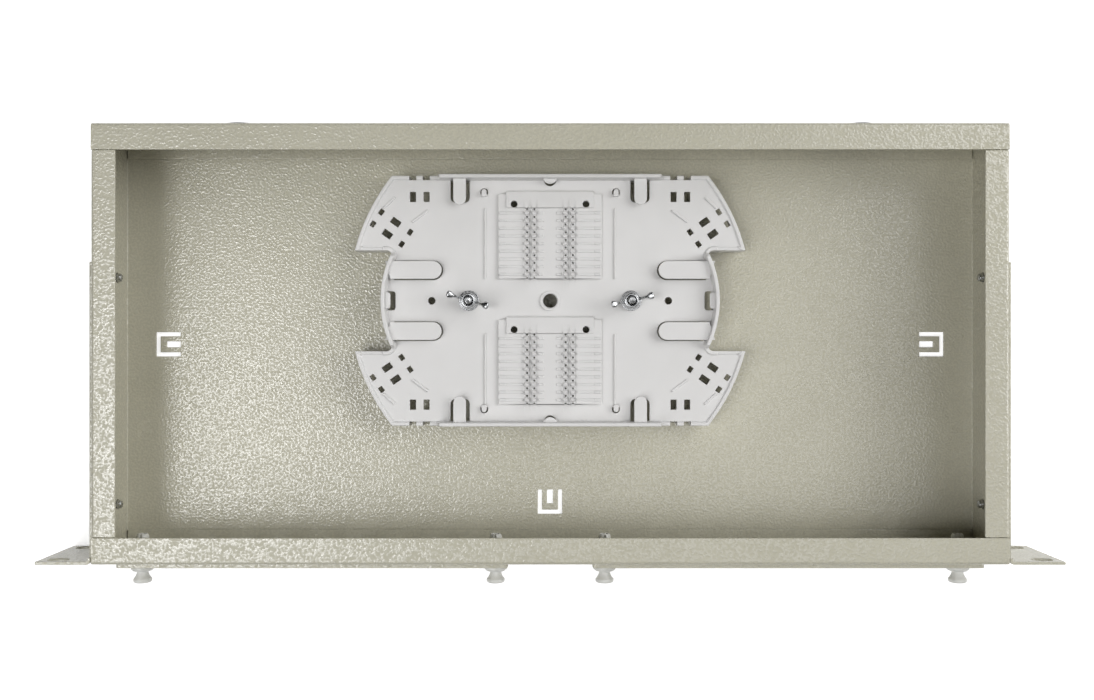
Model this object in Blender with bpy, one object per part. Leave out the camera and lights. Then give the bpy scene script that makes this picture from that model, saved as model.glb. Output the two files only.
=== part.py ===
"""Fiber termination box for a 19-inch rack, one unit high, with its top cover off.

Lengths are in metres. The origin is the centre of the floor's underside, +X points to the right
seen from the front, +Y to the rear and +Z up.
"""

import cmath
import math

import bmesh
import bpy

# Fits
SEAT = 0.0003  # gap between a piece and what it rests on
RUNNING = 0.0004  # gap round a piece that slides or turns

# Sheet-metal case
CASE_DEPTH = 0.207
CASE_HEIGHT = 0.044
SHEET = 0.0012
BEND_INSIDE = 0.0004
BEND_STEPS = 3
SIDE_FLANGE = 0.0115
REAR_FLANGE = 0.0126
FRONT_FLANGE = 0.0126
FOOT = 0.0100  # inward foot of the front and rear walls

# Tie-down slots in the floor: a C-shaped slot round a shorter bar slot
TIE_SQUARE = 0.0123
TIE_SLOT = 0.0021
TIE_BAR_LENGTH = 0.0070
TIE_BAR_WIDTH = 0.0030
TIE_SIDE_MARGIN = 0.0158
TIE_FRONT_MARGIN = 0.0177

# Cable entries in the rear wall
CABLE_ENTRY_MARGIN = 0.065  # middle of an entry to the case's side
CABLE_BORE = 0.015
CABLE_NECK = 0.022  # grommet diameter at the wall
CABLE_RIM = 0.027
CABLE_RIM_THICK = 0.0026

# Rack ears
EAR_SPAN = 0.4826
EAR_REACH = 0.0263  # from the case's side to the ear's tip
EAR_SHEET = 0.0015
EAR_HEIGHT = 0.043
EAR_LEG_LENGTH = 0.142
EAR_LEG_HEIGHT = 0.038
EAR_HOLE_SPACING = 0.03175
EAR_SLOT_MARGIN = 0.0088  # from a slot's middle to the ear's tip
EAR_SLOT_LENGTH = 0.010
EAR_SLOT_WIDTH = 0.0068
EAR_SCREW_MARGIN = 0.0056  # rear screws from the leg's rear end
EAR_SCREW_PITCH = 0.112  # rear screws to front screws
EAR_SCREW_SPACING = 0.016

# Ear screws
SCREW_DIAMETER = 0.0040
SCREW_HEAD = 0.0072
SCREW_HEAD_SIDE = 0.0010  # straight side of the head
SCREW_CROWN = 0.0014  # dome over the straight side
SCREW_CHAMFER = 0.0004
SCREW_REACH = 0.0020  # how far the tip stands inside the wall

# Adapter plates on the front wall
PLATE_SHEET = 0.0020
PLATE_GAP = 0.040  # bare middle of the front wall
PLATE_SIDE_MARGIN = 0.010
PLATE_EDGE_MARGIN = 0.004
PLATE_CORNER = 0.002
WINDOW_LAP = 0.005
WINDOW_MARGIN = 0.0085  # plunger axis to window
PORTS = 8
PORT_WIDTH = 0.0096
PORT_HEIGHT = 0.0134

# Plungers that hold the plates
PLUNGER_END = 0.0065  # plunger axis to the plate's end
GROMMET_HEAD = 0.011
GROMMET_HEAD_THICK = 0.0042
GROMMET_EDGE = 0.0010  # rounded front edge of the head
GROMMET_BARREL = 0.0062
GROMMET_LEGS = 0.0100  # length inside the front wall
GROMMET_SPLIT = 0.0012
PIN_DIAMETER = 0.0028
KNOB_NECK = 0.0055
KNOB_HEAD = 0.0089
KNOB_LENGTH = 0.0054
KNOB_EDGE = 0.0010  # rounded front edge of the knob
KNOB_WAIST = 0.0036  # length of the hollow behind the knob's rim
KNOB_STEPS = 4

# Splice tray
TRAY_REAR_GAP = 0.0204  # rear face of the case to the tray
TRAY_HALF_LENGTH = 0.0617  # long edges from the tray's middle
TRAY_FLOOR = 0.0016
TRAY_HEIGHT = 0.0080
TRAY_SKIRT = 0.0095  # edge of the tray below its floor
TRAY_WALL = 0.0018
SIDE_REACH = 0.0829
SIDE_RADIUS = 0.053
WING_RADIUS = 0.0995
WING_LENGTH = 0.0369  # from the long edge to the wing's open edge
WING_FILLET = 0.0024
WING_RIM = 0.0014  # height of the rim round a wing, above the floor
WING_INNER_U = 0.0555  # where the full rim of a long edge ends
WING_SILL = 0.0003  # what is left of the rim on a wing's open edge
NOTCH_WIDTH = 0.0035
NOTCH_PLACES = (0.0610, 0.0677)
TIE_HOLE_WIDTH = 0.0030
TIE_HOLE_LENGTH = 0.0050
TIE_HOLE_EDGE = 0.0104  # middle of a hole, from the long edge
WING_SLOT_CENTRE = 0.0783 + 0.0258j  # across from the middle, and along from the long edge
WING_SLOT_ANGLE = math.radians(35)
WING_SLOT_ACROSS = 0.00865
WING_SLOT_ALONG = 0.0072
WING_SLOT_SIZES = ((0.0024, 0.0030), (0.0050, 0.0032), (0.0024, 0.0030))
GUIDE_RIBS = ((0.0601 + 0.0170j, 0.0680 + 0.0229j), (0.0763 + 0.0106j, 0.0822 + 0.0160j))  # likewise
RIB_WIDTH = 0.0012
RIB_HEIGHT = 0.0014
LIP_THICK = 0.0012
LIP_DROP = 0.0025  # from the top of the rim down to the lips
EDGE_LIP_U = 0.0444
EDGE_LIP_WIDTH = 0.0062
EDGE_LIP_REACH = 0.0147  # from the long edge
EDGE_HOLE_WIDTH = 0.0094
EDGE_HOLE_REACH = 0.0132
EDGE_HOLE_CORNER = 0.0024
SIDE_LIP_V = 0.0150
SIDE_LIP_WIDTH = 0.0088
SIDE_HOLE_WIDTH = 0.0095
SIDE_LIP_REACH = 0.0297  # from the side's furthest point
END_LIP_WIDTH = 0.0080
END_LIP_REACH = 0.0045
END_HOLE_WIDTH = 0.0094
END_HOLE_REACH = 0.0066
MIDDLE_TAB_RADIUS = 0.0036
MIDDLE_TAB_LAP = 0.0006  # tab past the opening below it
MIDDLE_HOLE = 0.0069
MIDDLE_BOSS = 0.0100
BOSS_HEIGHT = 0.0008
SMALL_HOLE = 0.0037
SMALL_HOLE_U = 0.0584
HOOK_U = 0.0325
HOOK_EDGE = 0.0068  # rounded outer end, from the long edge
HOOK_WIDTH = 0.0024
HOOK_LENGTH = 0.0036
HOOK_SLIT = 0.00065
HOOK_HEIGHT = 0.0024
RIDGE_U = 0.0320
RIDGE_WIDTH = 0.0008
RIDGE_HEIGHT = 0.0008

# Sleeve holders
UPPER_HOLDER_EDGE = 0.00768  # end of the upper holder's tab, from the long edge
LOWER_HOLDER_EDGE = 0.01058  # end of the lower holder's comb, from the long edge
HOLDER_ROOM = 0.0040  # least room between a holder and the tray's middle boss
HOLDER_WIDTH = 0.0510
HOLDER_BASE = 0.0010
HOLDER_EDGE = 0.0023  # base past the first and last ribs
HOLDER_TAB_WIDTH = 0.0432
HOLDER_TAB_LENGTH = 0.0085
HOLDER_TAB_THICK = 0.0018
HOLDER_SHOULDER = 0.0015  # the base's wide part ends this far below the tab's end
HOLDER_HOLE = 0.0034
HOLDER_HOLE_U = 0.0177
HOLDER_HOLE_EDGE = 0.0065  # hole to the tab's end
COMB_PITCH = 0.00378
COMB_RIB = 0.0014
COMB_RIB_HEIGHT = 0.0012
FINGER_U = 0.0095  # middle of a pair of fingers
FINGER_SPACING = 0.0036
FINGER_WIDTH = 0.0025
FINGER_HEIGHT = 0.0026
FINGER_BULGE = 0.0006
FINGER_SLIT = 0.0006

# Studs and wing nuts
STUD_U = 0.0400
STUD_DIAMETER = 0.0040
STUD_FLANGE = 0.0056
STUD_FLANGE_THICK = 0.0009
STUD_TIP = 0.0006  # stands out of the nut
STUD_CHAMFER = 0.0005
SPACER_HEIGHT = 0.0115
SPACER_DIAMETER = 0.0090
WASHER_DIAMETER = 0.0100
WASHER_THICK = 0.0008
NUT_BASE = 0.0088
NUT_TOP = 0.0072
NUT_HUB = 0.0046
NUT_SPAN = 0.0214
NUT_HEIGHT = 0.0105
NUT_WING_THICK = 0.0016
NUT_WING_ROOT = (0.0006, 0.0041)  # bottom and top of a wing at the hub
NUT_WING_TIP = 0.0070  # bottom of a wing at its tip
NUT_WING_STEPS = 5
NUT_TURN = {"left": math.radians(-17), "right": math.radians(13)}

# Places that follow from the sizes above
SIDES = {"left": -1, "right": 1}
BEND_OUTSIDE = BEND_INSIDE + SHEET
CASE_FRONT = -CASE_DEPTH / 2
CASE_REAR = CASE_DEPTH / 2
CASE_SIDE = EAR_SPAN / 2 - EAR_REACH
CABLE_ENTRY_X = CASE_SIDE - CABLE_ENTRY_MARGIN
MID_HEIGHT = CASE_HEIGHT / 2
PLATE_WIDTH = CASE_SIDE - PLATE_SIDE_MARGIN - PLATE_GAP / 2
PLATE_HEIGHT = CASE_HEIGHT - 2 * PLATE_EDGE_MARGIN
PLATE_X = PLATE_GAP / 2 + PLATE_WIDTH / 2
PLUNGER_X = PLATE_WIDTH / 2 - PLUNGER_END
WINDOW_WIDTH = 2 * (PLUNGER_X - WINDOW_MARGIN)
WINDOW_HEIGHT = PLATE_HEIGHT - 2 * WINDOW_LAP
GROMMET_HOLE = GROMMET_BARREL + 2 * RUNNING
TRAY_Y = CASE_REAR - TRAY_REAR_GAP - TRAY_HALF_LENGTH
TRAY_Z = SHEET + SEAT + SPACER_HEIGHT + SEAT
NUT_Z = TRAY_FLOOR + SEAT + WASHER_THICK + SEAT
EAR_REAR = CASE_FRONT + EAR_LEG_LENGTH
EAR_SCREW_Y = (EAR_REAR - EAR_SCREW_MARGIN, EAR_REAR - EAR_SCREW_MARGIN - EAR_SCREW_PITCH)
EAR_SCREW_Z = (MID_HEIGHT - EAR_SCREW_SPACING / 2, MID_HEIGHT + EAR_SCREW_SPACING / 2)
SCREW_HOLE = SCREW_DIAMETER + 2 * RUNNING
STUD_HOLE = STUD_DIAMETER + 2 * RUNNING
WING_EDGE = TRAY_HALF_LENGTH - WING_LENGTH
HOOK_V = TRAY_HALF_LENGTH - HOOK_EDGE
HOLDER_FREE = TRAY_HALF_LENGTH - UPPER_HOLDER_EDGE - HOLDER_ROOM - MIDDLE_BOSS / 2
COMB_RIBS = 1 + int((HOLDER_FREE - HOLDER_TAB_LENGTH - 2 * HOLDER_EDGE) / COMB_PITCH)
COMB_LENGTH = (COMB_RIBS - 1) * COMB_PITCH
COMB_END = COMB_LENGTH / 2 + HOLDER_EDGE
HOLDER_V = (  # middles of the two combs
    TRAY_HALF_LENGTH - UPPER_HOLDER_EDGE - HOLDER_TAB_LENGTH - COMB_END,
    LOWER_HOLDER_EDGE + COMB_END - TRAY_HALF_LENGTH,
)
PAST = 0.002  # how far a cutter runs past the face it opens


def finish(name, colour, roughness, metallic=0.0):
    """A plain material of one colour."""
    material = bpy.data.materials.new(name)
    material.use_nodes = True
    shader = material.node_tree.nodes["Principled BSDF"]
    shader.inputs["Base Color"].default_value = (*colour, 1.0)
    shader.inputs["Roughness"].default_value = roughness
    shader.inputs["Metallic"].default_value = metallic
    return material


def on_axis(axis, a, b, height):
    """A point of a flat outline, raised along the named axis."""
    return {"X": (height, a, b), "Y": (a, height, b), "Z": (a, b, height)}[axis]


def loft(mesh, loops, ring=False, smooth=False):
    """Skins a stack of loops with as many points each, capping its ends unless it closes on itself."""
    rows = [[mesh.verts.new(point) for point in loop] for loop in loops]
    pairs = list(zip(rows, rows[1:]))
    if ring:
        pairs.append((rows[-1], rows[0]))
    else:
        mesh.faces.new(rows[0])
        mesh.faces.new(rows[-1])
    for lower, upper in pairs:
        for i, corner in enumerate(lower):
            side = mesh.faces.new((lower[i - 1], corner, upper[i], upper[i - 1]))
            side.smooth = smooth


def prism(mesh, outline, low, high, axis="Z"):
    """An outline of complex numbers, drawn out along an axis."""
    loft(mesh, [[on_axis(axis, p.real, p.imag, height) for p in outline] for height in (low, high)])


def turned(mesh, profile, axis="Z", sides=24, ring=False):
    """A profile of (radius, height) pairs turned round an axis; a ring's profile closes on itself."""
    turns = [cmath.exp(2j * math.pi * (i + 0.5) / sides) for i in range(sides)]
    loops = [[on_axis(axis, r * t.real, r * t.imag, h) for t in turns] for r, h in profile]
    loft(mesh, loops, ring, smooth=True)


def arc(centre, radius, start, end, steps):
    """Points on an arc, with the angles in radians."""
    return [centre + cmath.rect(radius, start + (end - start) * i / steps) for i in range(steps + 1)]


def circle(centre, diameter, sides=12):
    return arc(centre, diameter / 2, 0, 2 * math.pi * (1 - 1 / sides), sides - 1)


def rectangle(low, high):
    """An upright rectangle between two corners."""
    return [low, complex(high.real, low.imag), high, complex(low.real, high.imag)]


def centred(width, height, centre=0j):
    half = complex(width, height) / 2
    return rectangle(centre - half, centre + half)


def tongue(width, roots, tip, steps=6):
    """A tongue along +X with a half-round tip; its two sides start at the two roots."""
    half = width / 2
    return [complex(roots[0], half), complex(roots[1], -half)] + arc(
        complex(tip - half, 0), half, -math.pi / 2, math.pi / 2, steps
    )


def mirrored(outline, across, along):
    """The outline with the signs of its two coordinates multiplied."""
    return [complex(across * p.real, along * p.imag) for p in outline]


def folded(path):
    """Outline of a folded sheet: path is its outer face, which turns left by a right angle at each bend."""
    outer, inner = [path[0]], []
    for here, bend, there in zip(path, path[1:], path[2:]):
        ahead = (bend - here) / abs(bend - here)
        centre = bend + BEND_OUTSIDE * (1j - 1) * ahead
        start = cmath.phase(-1j * ahead)
        outer += arc(centre, BEND_OUTSIDE, start, start + math.pi / 2, BEND_STEPS)
        inner += arc(centre, BEND_INSIDE, start, start + math.pi / 2, BEND_STEPS)
    first = (path[1] - path[0]) / abs(path[1] - path[0])
    last = (path[-1] - path[-2]) / abs(path[-1] - path[-2])
    inner = [path[0] + 1j * first * SHEET] + inner + [path[-1] + 1j * last * SHEET]
    return outer + [path[-1]] + inner[::-1]


def solid(name, mesh, material=None, place=(0, 0, 0), parent=None):
    """Makes an object of a bmesh, with its faces pointing out."""
    bmesh.ops.recalc_face_normals(mesh, faces=mesh.faces)
    data = bpy.data.meshes.new(name)
    mesh.to_mesh(data)
    mesh.free()
    data.set_sharp_from_angle(angle=math.radians(35))
    made = bpy.data.objects.new(name, data)
    bpy.context.scene.collection.objects.link(made)
    made.location = place
    made.parent = parent
    if material:
        data.materials.append(material)
    return made


def combine(target, mesh, operation):
    """Cuts a bmesh out of an object, or joins it on, with a live Boolean in the object's own frame."""
    tool = solid(f"{target.name}_{operation.lower()}", mesh, parent=target)
    tool.hide_render = True
    tool.display_type = "WIRE"
    modifier = target.modifiers.new(operation.title(), "BOOLEAN")
    modifier.operation = operation
    modifier.solver = "EXACT"
    modifier.object = tool


def tie_slots(mesh, centre, turn):
    """Cuts for one tie-down: a C-shaped slot, open along turn, and the bar slot inside its mouth."""
    half = TIE_SQUARE / 2
    inner = half - TIE_SLOT
    arm = [complex(half, inner), complex(half, half), complex(-half, half)]
    mouth = [complex(-inner, inner)]
    shape = mouth + arm + mirrored(arm, 1, -1)[::-1] + mirrored(mouth, 1, -1)
    bar = rectangle(
        complex(half - TIE_BAR_LENGTH, -TIE_BAR_WIDTH / 2), complex(half, TIE_BAR_WIDTH / 2)
    )
    for outline in (shape, bar):
        prism(mesh, [centre + turn * p for p in outline], -PAST, SHEET + PAST)


def base_pan(paint):
    """Floor and side walls folded from one sheet, with inward flanges along the top of the sides."""
    left, right = -CASE_SIDE, CASE_SIDE
    path = [
        complex(left + SIDE_FLANGE, CASE_HEIGHT),
        complex(left, CASE_HEIGHT),
        complex(left, 0),
        complex(right, 0),
        complex(right, CASE_HEIGHT),
        complex(right - SIDE_FLANGE, CASE_HEIGHT),
    ]
    mesh = bmesh.new()
    prism(mesh, folded(path), CASE_FRONT, CASE_REAR, "Y")
    pan = solid("base_pan", mesh, paint)

    cuts = bmesh.new()
    beyond = CASE_SIDE + PAST
    for end, flange in ((-1, FRONT_FLANGE), (1, REAR_FLANGE)):
        wall_end = CASE_REAR - BEND_OUTSIDE
        flange_end = CASE_REAR - flange - SEAT
        step = CASE_HEIGHT - BEND_OUTSIDE
        low, high, rear = SHEET + SEAT / 2, CASE_HEIGHT + PAST, CASE_REAR + PAST
        corner = [
            complex(flange_end, step),
            complex(wall_end, step),
            complex(wall_end, low),
            complex(rear, low),
            complex(rear, high),
            complex(flange_end, high),
        ]
        prism(cuts, mirrored(corner, end, 1), -beyond, beyond, "X")
    combine(pan, cuts, "DIFFERENCE")

    holes = bmesh.new()
    tie_side = CASE_SIDE - TIE_SIDE_MARGIN - TIE_SQUARE / 2
    tie_front = CASE_FRONT + TIE_FRONT_MARGIN + TIE_SQUARE / 2
    tie_slots(holes, complex(-tie_side, 0), 1)
    tie_slots(holes, complex(tie_side, 0), -1)
    tie_slots(holes, complex(0, tie_front), 1j)
    for side in SIDES.values():
        for y in EAR_SCREW_Y:
            for z in EAR_SCREW_Z:
                ends = sorted((side * (CASE_SIDE - SHEET - PAST), side * (CASE_SIDE + PAST)))
                prism(holes, circle(complex(y, z), SCREW_HOLE), *ends, "X")
    combine(pan, holes, "DIFFERENCE")


def end_wall(name, end, flange, paint):
    """A wall across the case with a foot on the floor and an inward flange, at one end of it."""
    bottom = SHEET + SEAT
    path = [
        complex(CASE_REAR - FOOT, bottom),
        complex(CASE_REAR, bottom),
        complex(CASE_REAR, CASE_HEIGHT),
        complex(CASE_REAR - flange, CASE_HEIGHT),
    ]
    mesh = bmesh.new()
    prism(mesh, mirrored(folded(path), end, 1), -CASE_SIDE, CASE_SIDE, "X")
    return solid(name, mesh, paint)


def foot_corners(mesh, end):
    """Cuts that keep the foot of an end wall clear of the side walls."""
    foot_side = CASE_SIDE - BEND_OUTSIDE - SEAT
    foot = rectangle(
        complex(CASE_REAR - FOOT - PAST, 0),
        complex(CASE_REAR - BEND_OUTSIDE + SEAT, SHEET + SEAT + BEND_OUTSIDE),
    )
    for side in SIDES.values():
        ends = sorted((side * foot_side, side * (CASE_SIDE + PAST)))
        prism(mesh, mirrored(foot, end, 1), *ends, "X")


def rear_wall(paint):
    wall = end_wall("rear_wall", 1, REAR_FLANGE, paint)
    cuts = bmesh.new()
    foot_corners(cuts, 1)
    for side in SIDES.values():
        entry = circle(complex(side * CABLE_ENTRY_X, MID_HEIGHT), CABLE_NECK + 2 * SEAT, 24)
        prism(cuts, entry, CASE_REAR - SHEET - PAST, CASE_REAR + PAST, "Y")
    combine(wall, cuts, "DIFFERENCE")


def front_wall(paint):
    wall = end_wall("front_wall", -1, FRONT_FLANGE, paint)
    cuts = bmesh.new()
    foot_corners(cuts, -1)
    through = (CASE_FRONT - PAST, CASE_FRONT + SHEET + PAST)
    for side in SIDES.values():
        middle = complex(side * PLATE_X, MID_HEIGHT)
        prism(cuts, centred(WINDOW_WIDTH, WINDOW_HEIGHT, middle), *through, "Y")
        for x in (-PLUNGER_X, PLUNGER_X):
            prism(cuts, circle(middle + x, GROMMET_HOLE), *through, "Y")
    combine(wall, cuts, "DIFFERENCE")


def cable_grommet(name, side, rubber):
    """Rubber ring with a groove that grips the rear wall."""
    inner = SHEET / 2 + SEAT
    outer = inner + CABLE_RIM_THICK
    bore, neck, rim = CABLE_BORE / 2, CABLE_NECK / 2, CABLE_RIM / 2
    edge = rim - CABLE_RIM_THICK / 3
    profile = [(bore, -outer), (edge, -outer), (rim, -inner), (neck, -inner)]
    profile += [(r, -h) for r, h in profile[::-1]]
    mesh = bmesh.new()
    turned(mesh, profile, "Y", 20, ring=True)
    solid(name, mesh, rubber, (side * CABLE_ENTRY_X, CASE_REAR - SHEET / 2, MID_HEIGHT))


def rack_ear(name, side, paint):
    """L bracket: a long leg along the side wall and an ear with two slots across the front."""
    inside = CASE_SIDE + SEAT
    tip = EAR_SPAN / 2
    corner = EAR_SHEET / 2
    outline = [complex(inside, EAR_REAR), complex(inside, CASE_FRONT + corner)]
    outline += arc(complex(inside + corner, CASE_FRONT + corner), corner, math.pi, 1.5 * math.pi, 3)[1:]
    outline += [
        complex(tip, CASE_FRONT),
        complex(tip, CASE_FRONT + EAR_SHEET),
        complex(inside + EAR_SHEET, CASE_FRONT + EAR_SHEET),
        complex(inside + EAR_SHEET, EAR_REAR),
    ]
    low = MID_HEIGHT - EAR_HEIGHT / 2
    high = MID_HEIGHT + EAR_HEIGHT / 2
    mesh = bmesh.new()
    prism(mesh, mirrored(outline, side, 1), low, high)
    ear = solid(name, mesh, paint)

    cuts = bmesh.new()
    leg_start = CASE_FRONT + 2 * EAR_SHEET
    trim = rectangle(
        complex(inside - PAST, leg_start), complex(inside + EAR_SHEET + PAST, EAR_REAR + PAST)
    )
    leg = EAR_LEG_HEIGHT / 2
    prism(cuts, mirrored(trim, side, 1), low - PAST, MID_HEIGHT - leg)
    prism(cuts, mirrored(trim, side, 1), MID_HEIGHT + leg, high + PAST)
    across = (CASE_FRONT - PAST, CASE_FRONT + EAR_SHEET + PAST)
    half = EAR_SLOT_WIDTH / 2
    straight = EAR_SLOT_LENGTH / 2 - half
    for level in (-1, 1):
        middle = complex(tip - EAR_SLOT_MARGIN, MID_HEIGHT + level * EAR_HOLE_SPACING / 2)
        slot = arc(middle + straight, half, -math.pi / 2, math.pi / 2, 6)
        slot += arc(middle - straight, half, math.pi / 2, 1.5 * math.pi, 6)
        prism(cuts, mirrored(slot, side, 1), *across, "Y")
    ends = sorted((side * (inside - PAST), side * (inside + EAR_SHEET + PAST)))
    for y in EAR_SCREW_Y:
        for z in EAR_SCREW_Z:
            prism(cuts, circle(complex(y, z), SCREW_HOLE), *ends, "X")
    combine(ear, cuts, "DIFFERENCE")


def ear_screw(name, side, y, z, steel):
    """Pan-head screw from outside the ear, with its tip just inside the side wall."""
    shank = SCREW_DIAMETER / 2
    head = SCREW_HEAD / 2
    tip = CASE_SIDE - SHEET - SCREW_REACH
    seat = CASE_SIDE + SEAT + EAR_SHEET + SEAT
    profile = [
        (shank - SCREW_CHAMFER, tip),
        (shank, tip + SCREW_CHAMFER),
        (shank, seat),
        (head, seat),
        (head, seat + SCREW_HEAD_SIDE),
        (head - SCREW_CROWN, seat + SCREW_HEAD_SIDE + SCREW_CROWN),
    ]
    mesh = bmesh.new()
    turned(mesh, [(r, side * x) for r, x in profile], "X", 12)
    solid(name, mesh, steel, (0, y, z))


def adapter_plate(name, side, paint):
    """Plate over a front window, with a row of ports and a plunger hole at each end."""
    corner = complex(PLATE_WIDTH / 2, PLATE_HEIGHT / 2) - PLATE_CORNER * (1 + 1j)
    outline = []
    for quarter, (across, along) in enumerate(((1, 1), (-1, 1), (-1, -1), (1, -1))):
        centre = mirrored([corner], across, along)[0]
        start = quarter * math.pi / 2
        outline += arc(centre, PLATE_CORNER, start, start + math.pi / 2, 3)
    mesh = bmesh.new()
    prism(mesh, outline, -PLATE_SHEET, 0, "Y")
    plate = solid(name, mesh, paint, (side * PLATE_X, CASE_FRONT - SEAT, MID_HEIGHT))

    cuts = bmesh.new()
    through = (-PLATE_SHEET - PAST, PAST)
    pitch = WINDOW_WIDTH / PORTS
    for port in range(PORTS):
        x = (port - (PORTS - 1) / 2) * pitch
        prism(cuts, centred(PORT_WIDTH, PORT_HEIGHT, x), *through, "Y")
    for x in (-PLUNGER_X, PLUNGER_X):
        prism(cuts, circle(x, GROMMET_HOLE), *through, "Y")
    combine(plate, cuts, "DIFFERENCE")
    return plate


def plunger_grommet(name, plate, x, nylon):
    """Nylon bush through the plate and the wall, with split legs inside the case."""
    head, barrel = GROMMET_HEAD / 2, GROMMET_BARREL / 2
    bore = PIN_DIAMETER / 2 + RUNNING
    seat = -PLATE_SHEET - SEAT
    front = seat - GROMMET_HEAD_THICK
    legs = SEAT + SHEET + GROMMET_LEGS
    taper = barrel - bore
    profile = [
        (bore, front),
        (head - GROMMET_EDGE, front),
        (head, front + GROMMET_EDGE),
        (head, seat),
        (barrel, seat),
        (barrel, legs - taper),
        (barrel - taper / 2, legs),
        (bore, legs),
    ]
    mesh = bmesh.new()
    turned(mesh, profile, "Y", 16, ring=True)
    grommet = solid(name, mesh, nylon, (x, 0, 0), plate)
    split = bmesh.new()
    prism(split, centred(GROMMET_SPLIT, 2 * head), SEAT + 2 * SHEET, legs + PAST, "Y")
    combine(grommet, split, "DIFFERENCE")


def plunger_pin(name, plate, x, nylon):
    """Push-pull pin: a waisted knob in front of the grommet and a pin that spreads its legs."""
    front = -PLATE_SHEET - SEAT - GROMMET_HEAD_THICK - SEAT
    tip = SEAT + SHEET + GROMMET_LEGS
    pin, neck, head = PIN_DIAMETER / 2, KNOB_NECK / 2, KNOB_HEAD / 2
    knob = front - KNOB_LENGTH
    profile = [(head - KNOB_EDGE, knob), (head, knob + KNOB_EDGE)]
    for step in range(KNOB_STEPS + 1):
        left = 1 - step / KNOB_STEPS
        profile.append((neck + (head - neck) * left**2, front - KNOB_WAIST * left))
    profile += [(pin, front), (pin, tip - pin), (pin / 2, tip)]
    mesh = bmesh.new()
    turned(mesh, profile, "Y", 16)
    solid(name, mesh, nylon, (x, 0, 0), plate)


def tray_outline(inset):
    """Outline of the splice tray, drawn in by inset: round sides, four wings and straight long edges."""
    edge = TRAY_HALF_LENGTH - inset
    wing = WING_RADIUS - inset
    wing_edge = WING_EDGE + inset
    side = SIDE_RADIUS - inset
    fillet = WING_FILLET + inset
    side_centre = SIDE_REACH - SIDE_RADIUS
    fillet_v = wing_edge - fillet
    fillet_u = side_centre + math.sqrt((side + fillet) ** 2 - fillet_v**2)
    lean = math.atan2(fillet_v, fillet_u - side_centre)
    quarter = arc(side_centre, side, 0, lean, 4)
    quarter += arc(complex(fillet_u, fillet_v), fillet, math.pi + lean, math.pi / 2, 4)[1:]
    quarter += arc(0, wing, math.asin(wing_edge / wing), math.asin(edge / wing), 5)
    return (
        quarter
        + mirrored(quarter, -1, 1)[::-1]
        + mirrored(quarter[1:], -1, -1)
        + mirrored(quarter[1:], 1, -1)[::-1]
    )


def from_edge(point):
    """A place along the tray, counted from its long edge, as one counted from its middle."""
    return complex(point.real, TRAY_HALF_LENGTH - point.imag)


def quarters():
    """The signs of the tray's four quarters."""
    return [(across, along) for across in (1, -1) for along in (1, -1)]


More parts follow.
